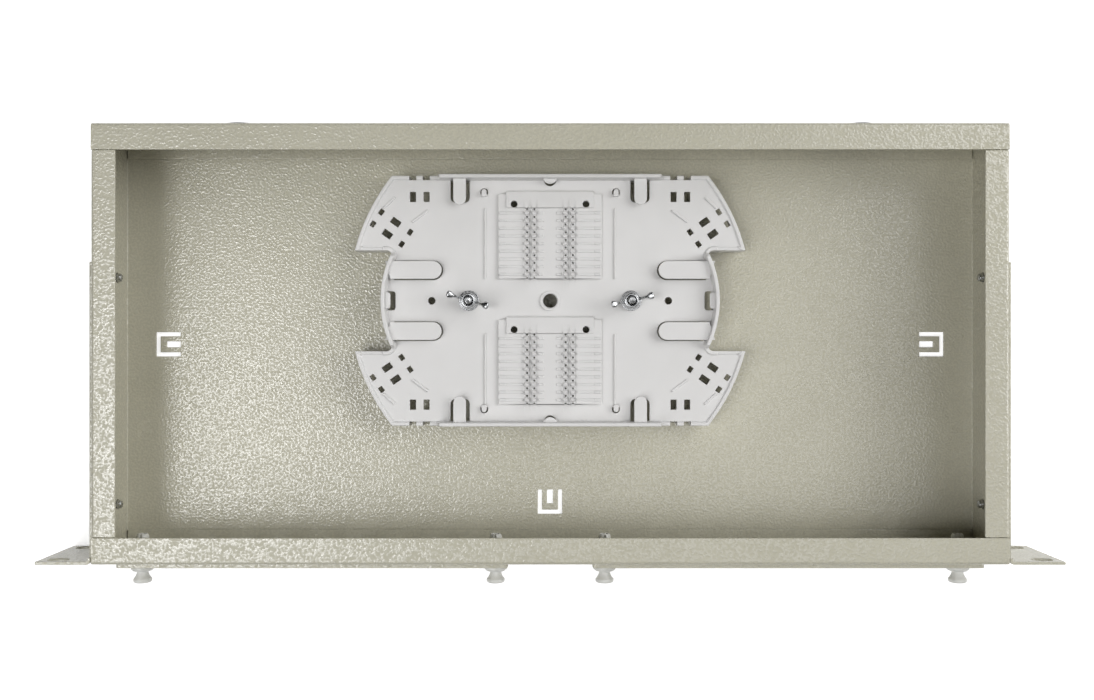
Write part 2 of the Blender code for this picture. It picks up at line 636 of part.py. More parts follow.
def tray_cuts():
    """Every hole and notch of the tray, as one tool."""
    cuts = bmesh.new()
    under, over = -PAST, TRAY_HEIGHT + PAST
    floor = (under, TRAY_FLOOR + PAST / 2)
    clear = TRAY_WALL + SEAT  # a hole's edge beside the rim
    prism(cuts, circle(0, MIDDLE_HOLE, 16), under, over)
    for u in (-SMALL_HOLE_U, SMALL_HOLE_U):
        prism(cuts, circle(u, SMALL_HOLE), *floor)
    for u in (-STUD_U, STUD_U):
        prism(cuts, circle(u, STUD_HOLE), *floor)
    for holder in HOLDER_V:
        for u in (-HOLDER_HOLE_U, HOLDER_HOLE_U):
            prism(cuts, circle(complex(u, holder + holder_hole_v()), HOLDER_HOLE), *floor)
    for across, along in quarters():
        for u in NOTCH_PLACES:
            notch = rectangle(
                complex(u - NOTCH_WIDTH / 2, TRAY_HALF_LENGTH - TRAY_WALL - SEAT),
                complex(u + NOTCH_WIDTH / 2, TRAY_HALF_LENGTH + PAST),
            )
            prism(cuts, mirrored(notch, across, along), under - TRAY_SKIRT, over)
            hole = centred(TIE_HOLE_WIDTH, TIE_HOLE_LENGTH, from_edge(complex(u, TIE_HOLE_EDGE)))
            prism(cuts, mirrored(hole, across, along), *floor)
        centre, turn = from_edge(WING_SLOT_CENTRE), cmath.exp(1j * WING_SLOT_ANGLE)
        for column, (wide, long) in enumerate(WING_SLOT_SIZES):
            for row in (-0.5, 0.5):
                step = complex((column - 1) * WING_SLOT_ACROSS, row * WING_SLOT_ALONG)
                slot = [centre + turn * (step + p) for p in centred(wide, long)]
                prism(cuts, mirrored(slot, across, along), *floor)
        bend = complex(EDGE_HOLE_REACH, EDGE_HOLE_WIDTH / 2) - EDGE_HOLE_CORNER * (1 + 1j)
        edge_hole = [complex(clear, -EDGE_HOLE_WIDTH / 2)]
        edge_hole += arc(bend.conjugate(), EDGE_HOLE_CORNER, -math.pi / 2, 0, 3)
        edge_hole += arc(bend, EDGE_HOLE_CORNER, 0, math.pi / 2, 3)
        edge_hole += [complex(clear, EDGE_HOLE_WIDTH / 2)]
        edge_hole = [complex(EDGE_LIP_U, TRAY_HALF_LENGTH) - 1j * p for p in edge_hole]
        prism(cuts, mirrored(edge_hole, across, along), *floor)
        gap = (SIDE_HOLE_WIDTH - SIDE_LIP_WIDTH) / 2
        side_hole = side_tongue(SIDE_HOLE_WIDTH, clear, SIDE_LIP_REACH + gap)
        prism(cuts, mirrored(side_hole, across, along), *floor)
        hook_root = HOOK_V - HOOK_LENGTH + 2 * HOOK_SLIT
        hook_hole = tongue(HOOK_WIDTH + 2 * HOOK_SLIT, (hook_root, hook_root), HOOK_V + HOOK_SLIT)
        prism(cuts, mirrored([HOOK_U + 1j * p for p in hook_hole], across, along), *floor)
        corner = math.sqrt(WING_RADIUS**2 - WING_EDGE**2)
        sill = rectangle(
            complex(SIDE_REACH, WING_EDGE - PAST), complex(corner - TRAY_WALL, WING_EDGE + clear)
        )
        prism(cuts, mirrored(sill, across, along), TRAY_FLOOR + WING_SILL, over)
    for across in (1, -1):
        end_hole = centred(
            END_HOLE_REACH - clear, END_HOLE_WIDTH, SIDE_REACH - (END_HOLE_REACH + clear) / 2
        )
        prism(cuts, mirrored(end_hole, across, 1), *floor)
        middle = arc(0, MIDDLE_TAB_RADIUS - MIDDLE_TAB_LAP, 0, math.pi, 8)
        middle = [complex(p.real, TRAY_HALF_LENGTH - clear - p.imag) for p in middle]
        prism(cuts, mirrored(middle, 1, across), *floor)
    return cuts


def side_tongue(width, root, tip):
    """Outline of a lip or its hole on the round side: each side of it starts at its own depth there."""
    edges = (SIDE_LIP_V - width / 2, SIDE_LIP_V + width / 2)
    roots = [root + SIDE_RADIUS - math.sqrt(SIDE_RADIUS**2 - edge**2) for edge in edges]
    return [complex(SIDE_REACH, SIDE_LIP_V) - p for p in tongue(width, roots, tip)]


def wing_cuts():
    """Cuts that lower the rim round the four wings."""
    cuts = bmesh.new()
    low = complex(WING_INNER_U, WING_EDGE - WING_FILLET)
    high = complex(WING_RADIUS, TRAY_HALF_LENGTH + PAST)
    for across, along in quarters():
        wing = mirrored(rectangle(low, high), across, along)
        prism(cuts, wing, TRAY_FLOOR + WING_RIM, TRAY_HEIGHT + PAST)
    return cuts


def tray_additions():
    """Lips, ribs, hooks and the middle boss of the tray, as one tool."""
    extra = bmesh.new()
    lip = (TRAY_HEIGHT - LIP_DROP - LIP_THICK, TRAY_HEIGHT - LIP_DROP)
    root = TRAY_WALL / 2
    bed = TRAY_FLOOR / 2
    for across, along in quarters():
        edge_lip = tongue(EDGE_LIP_WIDTH, (root, root), EDGE_LIP_REACH)
        edge_lip = [complex(EDGE_LIP_U, TRAY_HALF_LENGTH) - 1j * p for p in edge_lip]
        prism(extra, mirrored(edge_lip, across, along), *lip)
        side_lip = side_tongue(SIDE_LIP_WIDTH, root, SIDE_LIP_REACH)
        prism(extra, mirrored(side_lip, across, along), *lip)
        for ends in GUIDE_RIBS:
            start, end = (from_edge(point) for point in ends)
            half = 1j * (end - start) / abs(end - start) * RIB_WIDTH / 2
            rib = [start - half, end - half, end + half, start + half]
            prism(extra, mirrored(rib, across, along), bed, TRAY_FLOOR + RIB_HEIGHT)
        hook_root = HOOK_V - HOOK_LENGTH
        hook = [HOOK_U + 1j * p for p in tongue(HOOK_WIDTH, (hook_root, hook_root), HOOK_V)]
        prism(extra, mirrored(hook, across, along), bed, TRAY_FLOOR + HOOK_HEIGHT)
    for holder in HOLDER_V:
        for u in (-RIDGE_U, RIDGE_U):
            ridge = centred(RIDGE_WIDTH, 2 * COMB_END, complex(u, holder))
            prism(extra, ridge, bed, TRAY_FLOOR + RIDGE_HEIGHT)
    for across in (1, -1):
        end_lip = centred(
            END_LIP_REACH - root, END_LIP_WIDTH, SIDE_REACH - (END_LIP_REACH + root) / 2
        )
        prism(extra, mirrored(end_lip, across, 1), *lip)
        tab = arc(0, MIDDLE_TAB_RADIUS, 0, math.pi, 8)
        tab = [complex(p.real, TRAY_HALF_LENGTH - TRAY_WALL - p.imag) for p in tab]
        tab += [p + 1j * root for p in (tab[-1], tab[0])]
        prism(extra, mirrored(tab, 1, across), *lip)
    boss, hole = MIDDLE_BOSS / 2, MIDDLE_HOLE / 2 + SEAT
    top = TRAY_FLOOR + BOSS_HEIGHT
    turned(extra, [(hole, bed), (boss, bed), (boss, top), (hole, top)], sides=16, ring=True)
    return extra


def splice_tray(plastic):
    """Moulded tray: floor, rim and skirt in one loft, then its openings, then its lips and ribs."""
    outside, inside = tray_outline(0), tray_outline(TRAY_WALL)
    levels = [(inside, 0), (inside, -TRAY_SKIRT), (outside, -TRAY_SKIRT)]
    levels += [(outside, TRAY_HEIGHT), (inside, TRAY_HEIGHT), (inside, TRAY_FLOOR)]
    mesh = bmesh.new()
    loft(mesh, [[on_axis("Z", p.real, p.imag, z) for p in outline] for outline, z in levels])
    tray = solid("splice_tray", mesh, plastic, (0, TRAY_Y, TRAY_Z))
    combine(tray, wing_cuts(), "DIFFERENCE")
    combine(tray, tray_cuts(), "DIFFERENCE")
    combine(tray, tray_additions(), "UNION")
    return tray


def holder_hole_v():
    """Place of a holder's two holes along the tray, from the middle of its comb."""
    return COMB_END + HOLDER_TAB_LENGTH - HOLDER_HOLE_EDGE


def sleeve_holder(name, v, tray, plastic):
    """Comb for splice sleeves: a thin base with a thicker tab, and ribs with two pairs of sprung fingers."""
    tab_end = COMB_END + HOLDER_TAB_LENGTH
    wide, tab = HOLDER_WIDTH / 2, HOLDER_TAB_WIDTH / 2
    half = [
        complex(wide, -COMB_END),
        complex(wide, tab_end - HOLDER_SHOULDER),
        complex(tab, tab_end - HOLDER_SHOULDER),
        complex(tab, tab_end),
    ]
    mesh = bmesh.new()
    prism(mesh, half + mirrored(half, -1, 1)[::-1], 0, HOLDER_BASE)
    holder = solid(name, mesh, plastic, (0, v, TRAY_FLOOR + SEAT), tray)

    comb = bmesh.new()
    bed = HOLDER_BASE / 2
    raised = rectangle(complex(-tab, COMB_END), complex(tab, tab_end - HOLDER_BASE / 2))
    prism(comb, raised, bed, HOLDER_TAB_THICK)
    rib_top = HOLDER_BASE + COMB_RIB_HEIGHT
    finger_top = HOLDER_BASE + FINGER_HEIGHT
    gap = FINGER_SPACING / 2 + FINGER_WIDTH / 2 + FINGER_SLIT
    end = wide - COMB_RIB / 2
    ribs = ((-end, -FINGER_U - gap), (gap - FINGER_U, FINGER_U - gap), (FINGER_U + gap, end))
    neck = COMB_RIB / 2
    bulge = neck + FINGER_BULGE
    half = [complex(neck, bed), complex(bulge, rib_top), complex(neck / 2, finger_top)]
    finger = half + mirrored(half, -1, 1)[::-1]
    for row in range(COMB_RIBS):
        middle = row * COMB_PITCH - COMB_LENGTH / 2
        for low, high in ribs:
            prism(comb, rectangle(complex(low, middle - neck), complex(high, middle + neck)), bed, rib_top)
        for pair in (-FINGER_U, FINGER_U):
            for u in (pair - FINGER_SPACING / 2, pair + FINGER_SPACING / 2):
                ends = (u - FINGER_WIDTH / 2, u + FINGER_WIDTH / 2)
                prism(comb, [p + middle for p in finger], *ends, "X")
    combine(holder, comb, "UNION")

    holes = bmesh.new()
    for u in (-HOLDER_HOLE_U, HOLDER_HOLE_U):
        prism(holes, circle(complex(u, holder_hole_v()), HOLDER_HOLE), -PAST, HOLDER_TAB_THICK + PAST)
    combine(holder, holes, "DIFFERENCE")


def tray_stud(name, side, steel):
    """Weld stud on the floor; it ends just above its wing nut."""
    radius = STUD_DIAMETER / 2
    foot = SHEET + SEAT
    tip = TRAY_Z + NUT_Z + NUT_HUB + STUD_TIP
    profile = [
        (STUD_FLANGE / 2, foot),
        (STUD_FLANGE / 2, foot + STUD_FLANGE_THICK),
        (radius, foot + STUD_FLANGE_THICK),
        (radius, tip - STUD_CHAMFER),
        (radius - STUD_CHAMFER, tip),
    ]
    mesh = bmesh.new()
    turned(mesh, profile, sides=16)
    solid(name, mesh, steel, (side * STUD_U, TRAY_Y, 0))


def ring(name, bore, diameter, low, high, material, place, parent=None, sides=16):
    """A plain flat or tall ring."""
    mesh = bmesh.new()
    inner, outer = bore / 2, diameter / 2
    turned(mesh, [(inner, low), (outer, low), (outer, high), (inner, high)], "Z", sides, ring=True)
    solid(name, mesh, material, place, parent)


def wing_nut(name, side, turn, tray, steel):
    """Conical hub with two wings that rise and thicken outwards."""
    bore = STUD_HOLE / 2
    base, top = NUT_BASE / 2, NUT_TOP / 2
    reach = NUT_SPAN / 2
    mesh = bmesh.new()
    turned(mesh, [(bore, 0), (base, 0), (top, NUT_HUB), (bore, NUT_HUB)], "Z", 16, ring=True)
    nut = solid(name, mesh, steel, (side * STUD_U, 0, NUT_Z), tray)
    nut.rotation_euler = (0, 0, turn)

    wings = bmesh.new()
    root = (bore + top) / 2
    low_root, high_root = NUT_WING_ROOT
    stations = []
    for step in range(NUT_WING_STEPS + 1):
        share = step / NUT_WING_STEPS
        half = NUT_WING_THICK / 2 * (1 + share)
        low = low_root + (NUT_WING_TIP - low_root) * share**1.5
        high = high_root + (NUT_HEIGHT - high_root) * (1 - (1 - share) ** 2)
        stations.append((root + (reach - root) * share, half, low, high))
    for way in (1, -1):
        loft(wings, [
            [(way * x, -y, low), (way * x, y, low), (way * x, y, high), (way * x, -y, high)]
            for x, y, low, high in stations
        ])
    combine(nut, wings, "UNION")


def build():
    for old in list(bpy.data.objects):
        bpy.data.objects.remove(old, do_unlink=True)

    paint = finish("beige_powder_coat", (0.47, 0.45, 0.37), 0.45)
    plastic = finish("white_tray_plastic", (0.70, 0.69, 0.67), 0.4)
    steel = finish("zinc_plated_steel", (0.66, 0.67, 0.68), 0.3, 1.0)
    nylon = finish("natural_nylon", (0.74, 0.74, 0.71), 0.35)
    rubber = finish("black_rubber", (0.03, 0.03, 0.03), 0.7)

    base_pan(paint)
    rear_wall(paint)
    front_wall(paint)
    tray = splice_tray(plastic)
    for level, v in zip(("upper", "lower"), HOLDER_V):
        sleeve_holder(f"{level}_sleeve_holder", v, tray, plastic)
    for hand, side in SIDES.items():
        cable_grommet(f"{hand}_cable_grommet", side, rubber)
        rack_ear(f"{hand}_rack_ear", side, paint)
        for place, y in zip(("rear", "front"), EAR_SCREW_Y):
            for level, z in zip(("lower", "upper"), EAR_SCREW_Z):
                ear_screw(f"{hand}_{place}_{level}_ear_screw", side, y, z, steel)
        plate = adapter_plate(f"{hand}_adapter_plate", side, paint)
        for end, x in (("inner", -side * PLUNGER_X), ("outer", side * PLUNGER_X)):
            plunger_grommet(f"{hand}_{end}_grommet", plate, x, nylon)
            plunger_pin(f"{hand}_{end}_plunger", plate, x, nylon)
        stud = side * STUD_U
        tray_stud(f"{hand}_tray_stud", side, steel)
        ring(
            f"{hand}_tray_spacer",
            STUD_FLANGE + 2 * RUNNING,
            SPACER_DIAMETER,
            SHEET + SEAT,
            SHEET + SEAT + SPACER_HEIGHT,
            nylon,
            (stud, TRAY_Y, 0),
        )
        washer = TRAY_FLOOR + SEAT
        ring(
            f"{hand}_washer",
            STUD_HOLE,
            WASHER_DIAMETER,
            washer,
            washer + WASHER_THICK,
            steel,
            (stud, 0, 0),
            tray,
        )
        wing_nut(f"{hand}_wing_nut", side, NUT_TURN[hand], tray, steel)


build()
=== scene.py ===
import math

import bmesh
import bpy
import numpy as np
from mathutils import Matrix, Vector
from mathutils.geometry import tessellate_polygon


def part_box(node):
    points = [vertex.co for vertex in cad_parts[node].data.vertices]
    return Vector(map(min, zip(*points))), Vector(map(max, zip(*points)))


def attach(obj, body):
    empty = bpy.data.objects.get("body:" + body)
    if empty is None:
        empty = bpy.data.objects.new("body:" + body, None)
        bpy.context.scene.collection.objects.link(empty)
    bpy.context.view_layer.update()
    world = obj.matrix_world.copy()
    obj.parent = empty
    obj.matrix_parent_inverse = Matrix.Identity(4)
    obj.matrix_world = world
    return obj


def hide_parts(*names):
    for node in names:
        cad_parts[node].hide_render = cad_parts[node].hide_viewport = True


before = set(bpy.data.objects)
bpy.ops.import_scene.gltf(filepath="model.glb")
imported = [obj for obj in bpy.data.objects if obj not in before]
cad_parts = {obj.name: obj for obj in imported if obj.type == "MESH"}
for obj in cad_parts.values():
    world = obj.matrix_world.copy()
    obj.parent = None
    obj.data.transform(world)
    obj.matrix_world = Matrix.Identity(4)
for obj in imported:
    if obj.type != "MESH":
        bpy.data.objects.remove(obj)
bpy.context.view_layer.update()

# Case: base pan, rear wall and front wall. Sheet steel, folded on a press brake and spot-welded at
# the corners, then powder-coated beige grey with a coarse grain like leather, half glossy.
SIDE, REAR, TOP, MID_HEIGHT = 0.215, 0.1035, 0.044, 0.022
SHEET, BEND, SEAT = 0.0012, 0.0016, 0.0003
SIDE_FLANGE, FLANGE, FOOT = 0.0115, 0.0126, 0.0100
SCREW_Y, SCREW_Z, SCREW_HOLE = (0.0329, -0.0791), (0.014, 0.030), 0.0024
ENTRY_X, ENTRY_RADIUS = 0.150, 0.0113
PLATE_X, WINDOW_HIGH, WINDOW_LONG, WINDOW_CORNER = 0.1125, 0.026, 0.155, 0.0006
PLUNGER_OUT, PLUNGER_HOLE = 0.086, 0.0035
WELD = 0.000001


def finish(name, **sockets):
    """New material; each keyword sets the shader's own socket of that name."""
    made = bpy.data.materials.new(name)
    made.use_nodes = True
    shader = made.node_tree.nodes["Principled BSDF"]
    for socket, value in sockets.items():
        shader.inputs[socket.replace("_", " ")].default_value = value
    return made


def add(material, kind, sockets, **settings):
    """New node; each of its sockets is set to a value or fed by another node's output."""
    made = material.node_tree.nodes.new("ShaderNode" + kind)
    for key, value in settings.items():
        setattr(made, key, value)
    for key, value in sockets.items():
        if isinstance(value, bpy.types.NodeSocket):
            material.node_tree.links.new(value, made.inputs[key])
        else:
            made.inputs[key].default_value = value
    return made.outputs[0]


def feed(material, **outputs):
    """Joins node outputs to the shader's sockets."""
    shader = material.node_tree.nodes["Principled BSDF"]
    for socket, output in outputs.items():
        material.node_tree.links.new(output, shader.inputs[socket.replace("_", " ")])


def object_place(material):
    """The place on the piece that patterns are read at."""
    return material.node_tree.nodes.new("ShaderNodeTexCoord").outputs["Object"]


def tones(material, value, low, high, *colours):
    """Colours spread evenly between two levels of a value."""
    ramp = material.node_tree.nodes.new("ShaderNodeValToRGB")
    material.node_tree.links.new(value, ramp.inputs["Fac"])
    stops = ramp.color_ramp.elements
    while len(stops) < len(colours):
        stops.new(0.5)
    for stop, colour, at in zip(stops, colours, np.linspace(low, high, len(colours))):
        stop.position = at
        stop.color = (*colour, 1.0)
    return ramp.outputs["Color"]


def levels(material, value, low, high, least, most):
    """A value between low and high, spread in a straight line from least to most."""
    ends = {"From Min": low, "From Max": high, "To Min": least, "To Max": most}
    return add(material, "MapRange", {"Value": value, **ends})


def powder_coat():
    """Beige paint with a leather grain: a soft noise with a finer one over it. The gloss follows the grain,
    and a slow cloud varies colour and roughness."""
    paint = finish("beige_powder_coat", IOR=1.65)
    place = object_place(paint)
    grain = add(paint, "TexNoise", {"Vector": place, "Scale": 900.0, "Detail": 0.0, "Distortion": 0.3})
    fine = add(paint, "TexNoise", {"Vector": place, "Scale": 3000.0, "Detail": 1.0})
    cloud = add(paint, "TexNoise", {"Vector": place, "Scale": 28.0, "Detail": 4.0})
    height = add(paint, "Math", {0: fine, 1: 0.03, 2: grain}, operation="MULTIPLY_ADD")
    colour = tones(paint, cloud, 0.3, 0.7, (0.505, 0.486, 0.388), (0.535, 0.516, 0.416))
    rough = levels(paint, cloud, 0.3, 0.7, 0.25, 0.28)
    bump = add(paint, "Bump", {"Height": height, "Strength": 1.0, "Distance": 0.00018})
    shine = levels(paint, grain, 0.38, 0.56, 0.08, 0.95)
    feed(paint, Base_Color=colour, Roughness=rough, Normal=bump, Specular_IOR_Level=shine)
    return paint


coat = powder_coat()


def skin(points, capped=True):
    """Quads over grids of points, shape (copies, rows, columns, 3). The columns close on themselves,
    and caps, where asked for, shut the first and last rows."""
    copies, rows, columns, _ = points.shape
    index = np.arange(copies * rows * columns).reshape(copies, rows, columns)
    ahead = np.roll(index, -1, axis=2)
    quads = np.stack([index[:, :-1], ahead[:, :-1], ahead[:, 1:], index[:, 1:]], -1)
    faces = quads.reshape(-1, 4).tolist()
    if capped:
        faces += index[:, 0].tolist() + index[:, -1].tolist()
    return points.reshape(-1, 3), faces


def joined(parts):
    """Several parts as one: their points in a row, and their faces counted on from part to part."""
    starts = np.cumsum([0] + [len(points) for points, _ in parts])
    faces = [[corner + start for corner in face] for (_, part), start in zip(parts, starts) for face in part]
    return np.concatenate([points for points, _ in parts]), faces


def eased(outline, radius, steps=5):
    """A closed outline of complex numbers, each corner rounded by a parabola that starts a radius away."""
    back = np.roll(outline, 1) - outline
    ahead = np.roll(outline, -1) - outline
    share = np.linspace(0, 1, steps)
    bend = (back / abs(back))[:, None] * (1 - share) ** 2 + (ahead / abs(ahead))[:, None] * share**2
    return (outline[:, None] + radius * bend).ravel()


def circle(middle, radius, sides=24):
    """Points at even angles round a middle."""
    return middle + radius * np.exp(1j * np.linspace(0, 2 * np.pi, sides, endpoint=False))


def block(width, length, middle=0):
    """The corners of a rectangle round its middle."""
    corner = (width + 1j * length) / 2
    return middle + np.array([-corner, corner.conjugate(), corner, -corner.conjugate()])


def drawn_in(outline, amount):
    """A closed outline moved to the left of its travel, with mitred corners."""
    step = np.roll(outline, -1) - outline
    normal = 1j * step / abs(step)
    before = np.roll(normal, 1)
    return outline + amount * (normal + before) / (1 + (normal * before.conj()).real)


def plate(outlines, low, high, edge):
    """A flat sheet between two heights with rounded edges: the first outline is its rim, the others are its
    holes. Rows run round each outline from the bottom face to the top face; triangles fill both faces."""
    turn = np.linspace(0, np.pi / 2, 3)
    inset = edge * (1 - np.sin(turn))
    rise = edge * (1 - np.cos(turn))
    insets = np.append(inset, inset[::-1])
    heights = np.append(low + rise, high - rise[::-1])
    parts, faces = [], []
    for number, outline in enumerate(outlines):
        area = (outline.conj() * np.roll(outline, -1)).imag.sum()
        outline = outline if (area > 0) == (number == 0) else outline[::-1]
        loops = np.stack([drawn_in(outline, amount) for amount in insets])
        level = np.broadcast_to(heights[:, None], loops.shape)
        parts.append(skin(np.stack([loops.real, loops.imag, level], -1)[None], capped=False))
        faces.append(loops[0])
    fill = np.array(tessellate_polygon([[(p.real, p.imag, 0.0) for p in loop] for loop in faces]))
    flat = np.concatenate(faces)
    both = [np.stack([flat.real, flat.imag, np.full(len(flat), level)], -1) for level in (low, high)]
    parts.append((np.concatenate(both), fill.tolist() + (fill + len(flat)).tolist()))
    return joined(parts)


def refilled(mesh):
    """Welds a bmesh, drops edges without faces, and turns edges in its flat fill so that no triangle there is
    drawn out to a line."""
    bmesh.ops.remove_doubles(mesh, verts=mesh.verts, dist=WELD)
    bmesh.ops.delete(mesh, geom=[edge for edge in mesh.edges if edge.is_wire], context="EDGES")
    flat = []
    for edge in mesh.edges:
        if {len(face.verts) for face in edge.link_faces} == {3}:
            corners = [corner.co for face in edge.link_faces for corner in face.verts]
            if np.ptp(corners, 0).min() < WELD:
                flat.append(edge)
    bmesh.ops.beautify_fill(mesh, faces=mesh.faces, edges=flat)


def folded_sheet(outlines, thick, start, heading, runs, radius):
    """A flat sheet, cut across at every bend and folded there. A point's place along the sheet is walked
    along straight runs and quarter turns of the outer face, and its height counts inwards from that face.
    Gives the place in the plane of the section, as complex numbers, the place across it and the faces."""
    sheared_edge, cuts = 0.0003, 7
    quarter = radius * np.pi / 2
    begins = np.cumsum(runs)[:-1] + quarter * np.arange(len(runs) - 1)
    points, faces = plate(outlines, 0, thick, sheared_edge)
    mesh = bpy.data.meshes.new("flat")
    mesh.from_pydata(points, [], faces)
    sheet = bmesh.new()
    sheet.from_mesh(mesh)
    refilled(sheet)
    for along in (begins[:, None] + np.linspace(0, quarter, cuts)).ravel():
        geom = sheet.verts[:] + sheet.edges[:] + sheet.faces[:]
        bmesh.ops.bisect_plane(sheet, geom=geom, plane_co=(along, 0, 0), plane_no=(1, 0, 0), dist=WELD)
    sheet.to_mesh(mesh)
    sheet.free()
    points = np.empty(3 * len(mesh.vertices))
    mesh.vertices.foreach_get("co", points)
    along, across, height = points.reshape(-1, 3).T
    faces = [list(face.vertices) for face in mesh.polygons]
    bpy.data.meshes.remove(mesh)
    spot, turned = np.full(len(along), start, complex), 0
    for number, run in enumerate(runs):
        way = heading * 1j**number
        reached = sum(runs[:number]) + number * quarter
        spot += way * np.clip(along - reached, 0, run)
        if number < len(begins):
            bend = np.clip((along - begins[number]) / radius, 0, np.pi / 2)
            spot += way * radius * (np.sin(bend) + 1j * (1 - np.cos(bend)))
            turned = turned + bend
    return spot + 1j * heading * np.exp(1j * turned) * height, across, faces


def piece(name, parts, material, body, node):
    """One mesh of several parts: welded, with outward normals, smooth except at true edges."""
    true_edge = math.radians(50)
    points, faces = joined(parts)
    mesh = bpy.data.meshes.new(name)
    mesh.from_pydata(points, [], faces)
    welded = bmesh.new()
    welded.from_mesh(mesh)
    refilled(welded)
    bmesh.ops.recalc_face_normals(welded, faces=welded.faces)
    welded.to_mesh(mesh)
    welded.free()
    mesh.shade_smooth()
    mesh.set_sharp_from_angle(angle=true_edge)
    mesh.materials.append(material)
    made = bpy.data.objects.new(name, mesh)
    bpy.context.scene.collection.objects.link(made)
    made.modifiers.new("Flat faces stay flat", "WEIGHTED_NORMAL").keep_sharp = True
    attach(made, body)
    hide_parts(node)


def base_pan():
    """Floor, side walls and side flanges in one: walls and flanges stop short of the end walls. Holes for the
    ear screws, and three tie-downs: a C-shaped slot round a bar slot."""
    flange, wall, floor = SIDE_FLANGE - BEND, TOP - 2 * BEND, 2 * (SIDE - BEND)
    quarter = BEND * np.pi / 2
    runs = [flange, wall, floor, wall, flange]
    length = sum(runs) + 4 * quarter
    upper, lower = flange + quarter, flange + quarter + wall
    flange_end, wall_end = 1j * (REAR - FLANGE - SEAT), 1j * (REAR - BEND)
    half = np.array([flange_end, upper + flange_end, upper + wall_end, lower + wall_end, lower + 1j * REAR])
    rear = np.concatenate([half, length - half.conj()[::-1]])
    outline = np.concatenate([rear.conj(), rear[::-1]])
    reach, inner, bar, bar_width, soft = 0.00615, 0.00405, 0.0070, 0.0030, 0.0002
    arm = np.array([reach + 1j * inner, reach + 1j * reach, -reach + 1j * reach])
    tie = np.concatenate([[-inner + 1j * inner], arm, arm.conj()[::-1], [-inner - 1j * inner]])
    tie_down = [eased(shape, soft, 3) for shape in (tie, block(bar, bar_width, reach - bar / 2))]
    side_tie, front_tie = 0.19305, -0.07965j
    holes = []
    for place, turn in ((-side_tie, 1), (side_tie, -1), (front_tie, 1j)):
        holes += [length / 2 + place + turn * shape for shape in tie_down]
    for y in SCREW_Y:
        for z in SCREW_Z:
            along = flange + quarter + TOP - BEND - z
            holes += [circle(place + 1j * y, SCREW_HOLE) for place in (along, length - along)]
    start = SIDE_FLANGE - SIDE + 1j * TOP
    spot, across, faces = folded_sheet([outline] + holes, SHEET, start, -1, runs, BEND)
    return np.stack([spot.real, across, spot.imag], -1), faces


def end_wall(end, openings):
    """Foot, wall and flange in one, at the front or the rear; the foot stops short of the side walls."""
    bottom = SHEET + SEAT
    runs = [FOOT - BEND, TOP - bottom - 2 * BEND, FLANGE - BEND]
    quarter = BEND * np.pi / 2
    shoulder, length = runs[0] + quarter, sum(runs) + 2 * quarter
    inside = SIDE - BEND - SEAT
    right = np.array([1j * inside, shoulder + 1j * inside, shoulder + 1j * SIDE, length + 1j * SIDE])
    outline = np.concatenate([right.conj(), right[::-1]])
    holes = [shoulder - bottom - BEND + hole for hole in openings]
    start = REAR - FOOT + 1j * bottom
    spot, across, faces = folded_sheet([outline] + holes, SHEET, start, 1, runs, BEND)
    return np.stack([across, end * spot.real, spot.imag], -1), faces


entries = [circle(MID_HEIGHT + 1j * side * ENTRY_X, ENTRY_RADIUS, 48) for side in (-1, 1)]
middles = [MID_HEIGHT + 1j * side * PLATE_X for side in (-1, 1)]
windows = [eased(block(WINDOW_HIGH, WINDOW_LONG, middle), WINDOW_CORNER) for middle in middles]
pin_places = [middle + 1j * way * PLUNGER_OUT for middle in middles for way in (-1, 1)]
windows += [circle(place, PLUNGER_HOLE, 32) for place in pin_places]
piece("base_pan_fine", [base_pan()], coat, "case", "base_pan")
piece("rear_wall_fine", [end_wall(1, entries)], coat, "case", "rear_wall")
piece("front_wall_fine", [end_wall(-1, windows)], coat, "case", "front_wall")

# Rack ears: heavier steel brackets, folded to an L and painted with the case. The long leg lies
# along the side wall under screws, and the short one stands out with slots for the rack's screws.
SIDES = {"left": -1, "right": 1}


def rack_ear(side):
    """Leg and ear in one: the ear is a little higher than the leg."""
    thick, bend, inside, tip, leg_end = 0.0015, 0.0020, SIDE + SEAT, 0.2413, 0.0385
    leg_half, ear_half, step_back = 0.0190j, 0.0215j, 0.0010
    slot_in, slot_straight, slot_round, slot_rise = 0.0088, 0.0016, 0.0034, 0.015875
    runs = [leg_end + REAR - bend, tip - inside - bend]
    length = sum(runs) + bend * np.pi / 2
    step = runs[0] - step_back
    upper = np.array([leg_half, step + leg_half, step + ear_half, length + ear_half])
    outline = np.concatenate([upper.conj(), upper[::-1]])
    holes = [circle(leg_end - y + 1j * (z - MID_HEIGHT), SCREW_HOLE) for y in SCREW_Y for z in SCREW_Z]
    end = slot_round * np.exp(1j * np.linspace(-np.pi / 2, np.pi / 2, 13)) + slot_straight
    slot = length - slot_in + np.concatenate([end, -end])
    holes += [slot + 1j * height for height in (-slot_rise, slot_rise)]
    spot, across, faces = folded_sheet([outline] + holes, thick, inside + 1j * leg_end, -1j, runs, bend)
    return np.stack([side * spot.real, spot.imag, across + MID_HEIGHT], -1), faces


for hand, side in SIDES.items():
    piece(f"{hand}_rack_ear_fine", [rack_ear(side)], coat, "case", f"{hand}_rack_ear")

# Ear screws: zinc-plated pan-head screws with a cross recess, driven from outside through the ear
# and the side wall, so that their tips stand just inside the case.


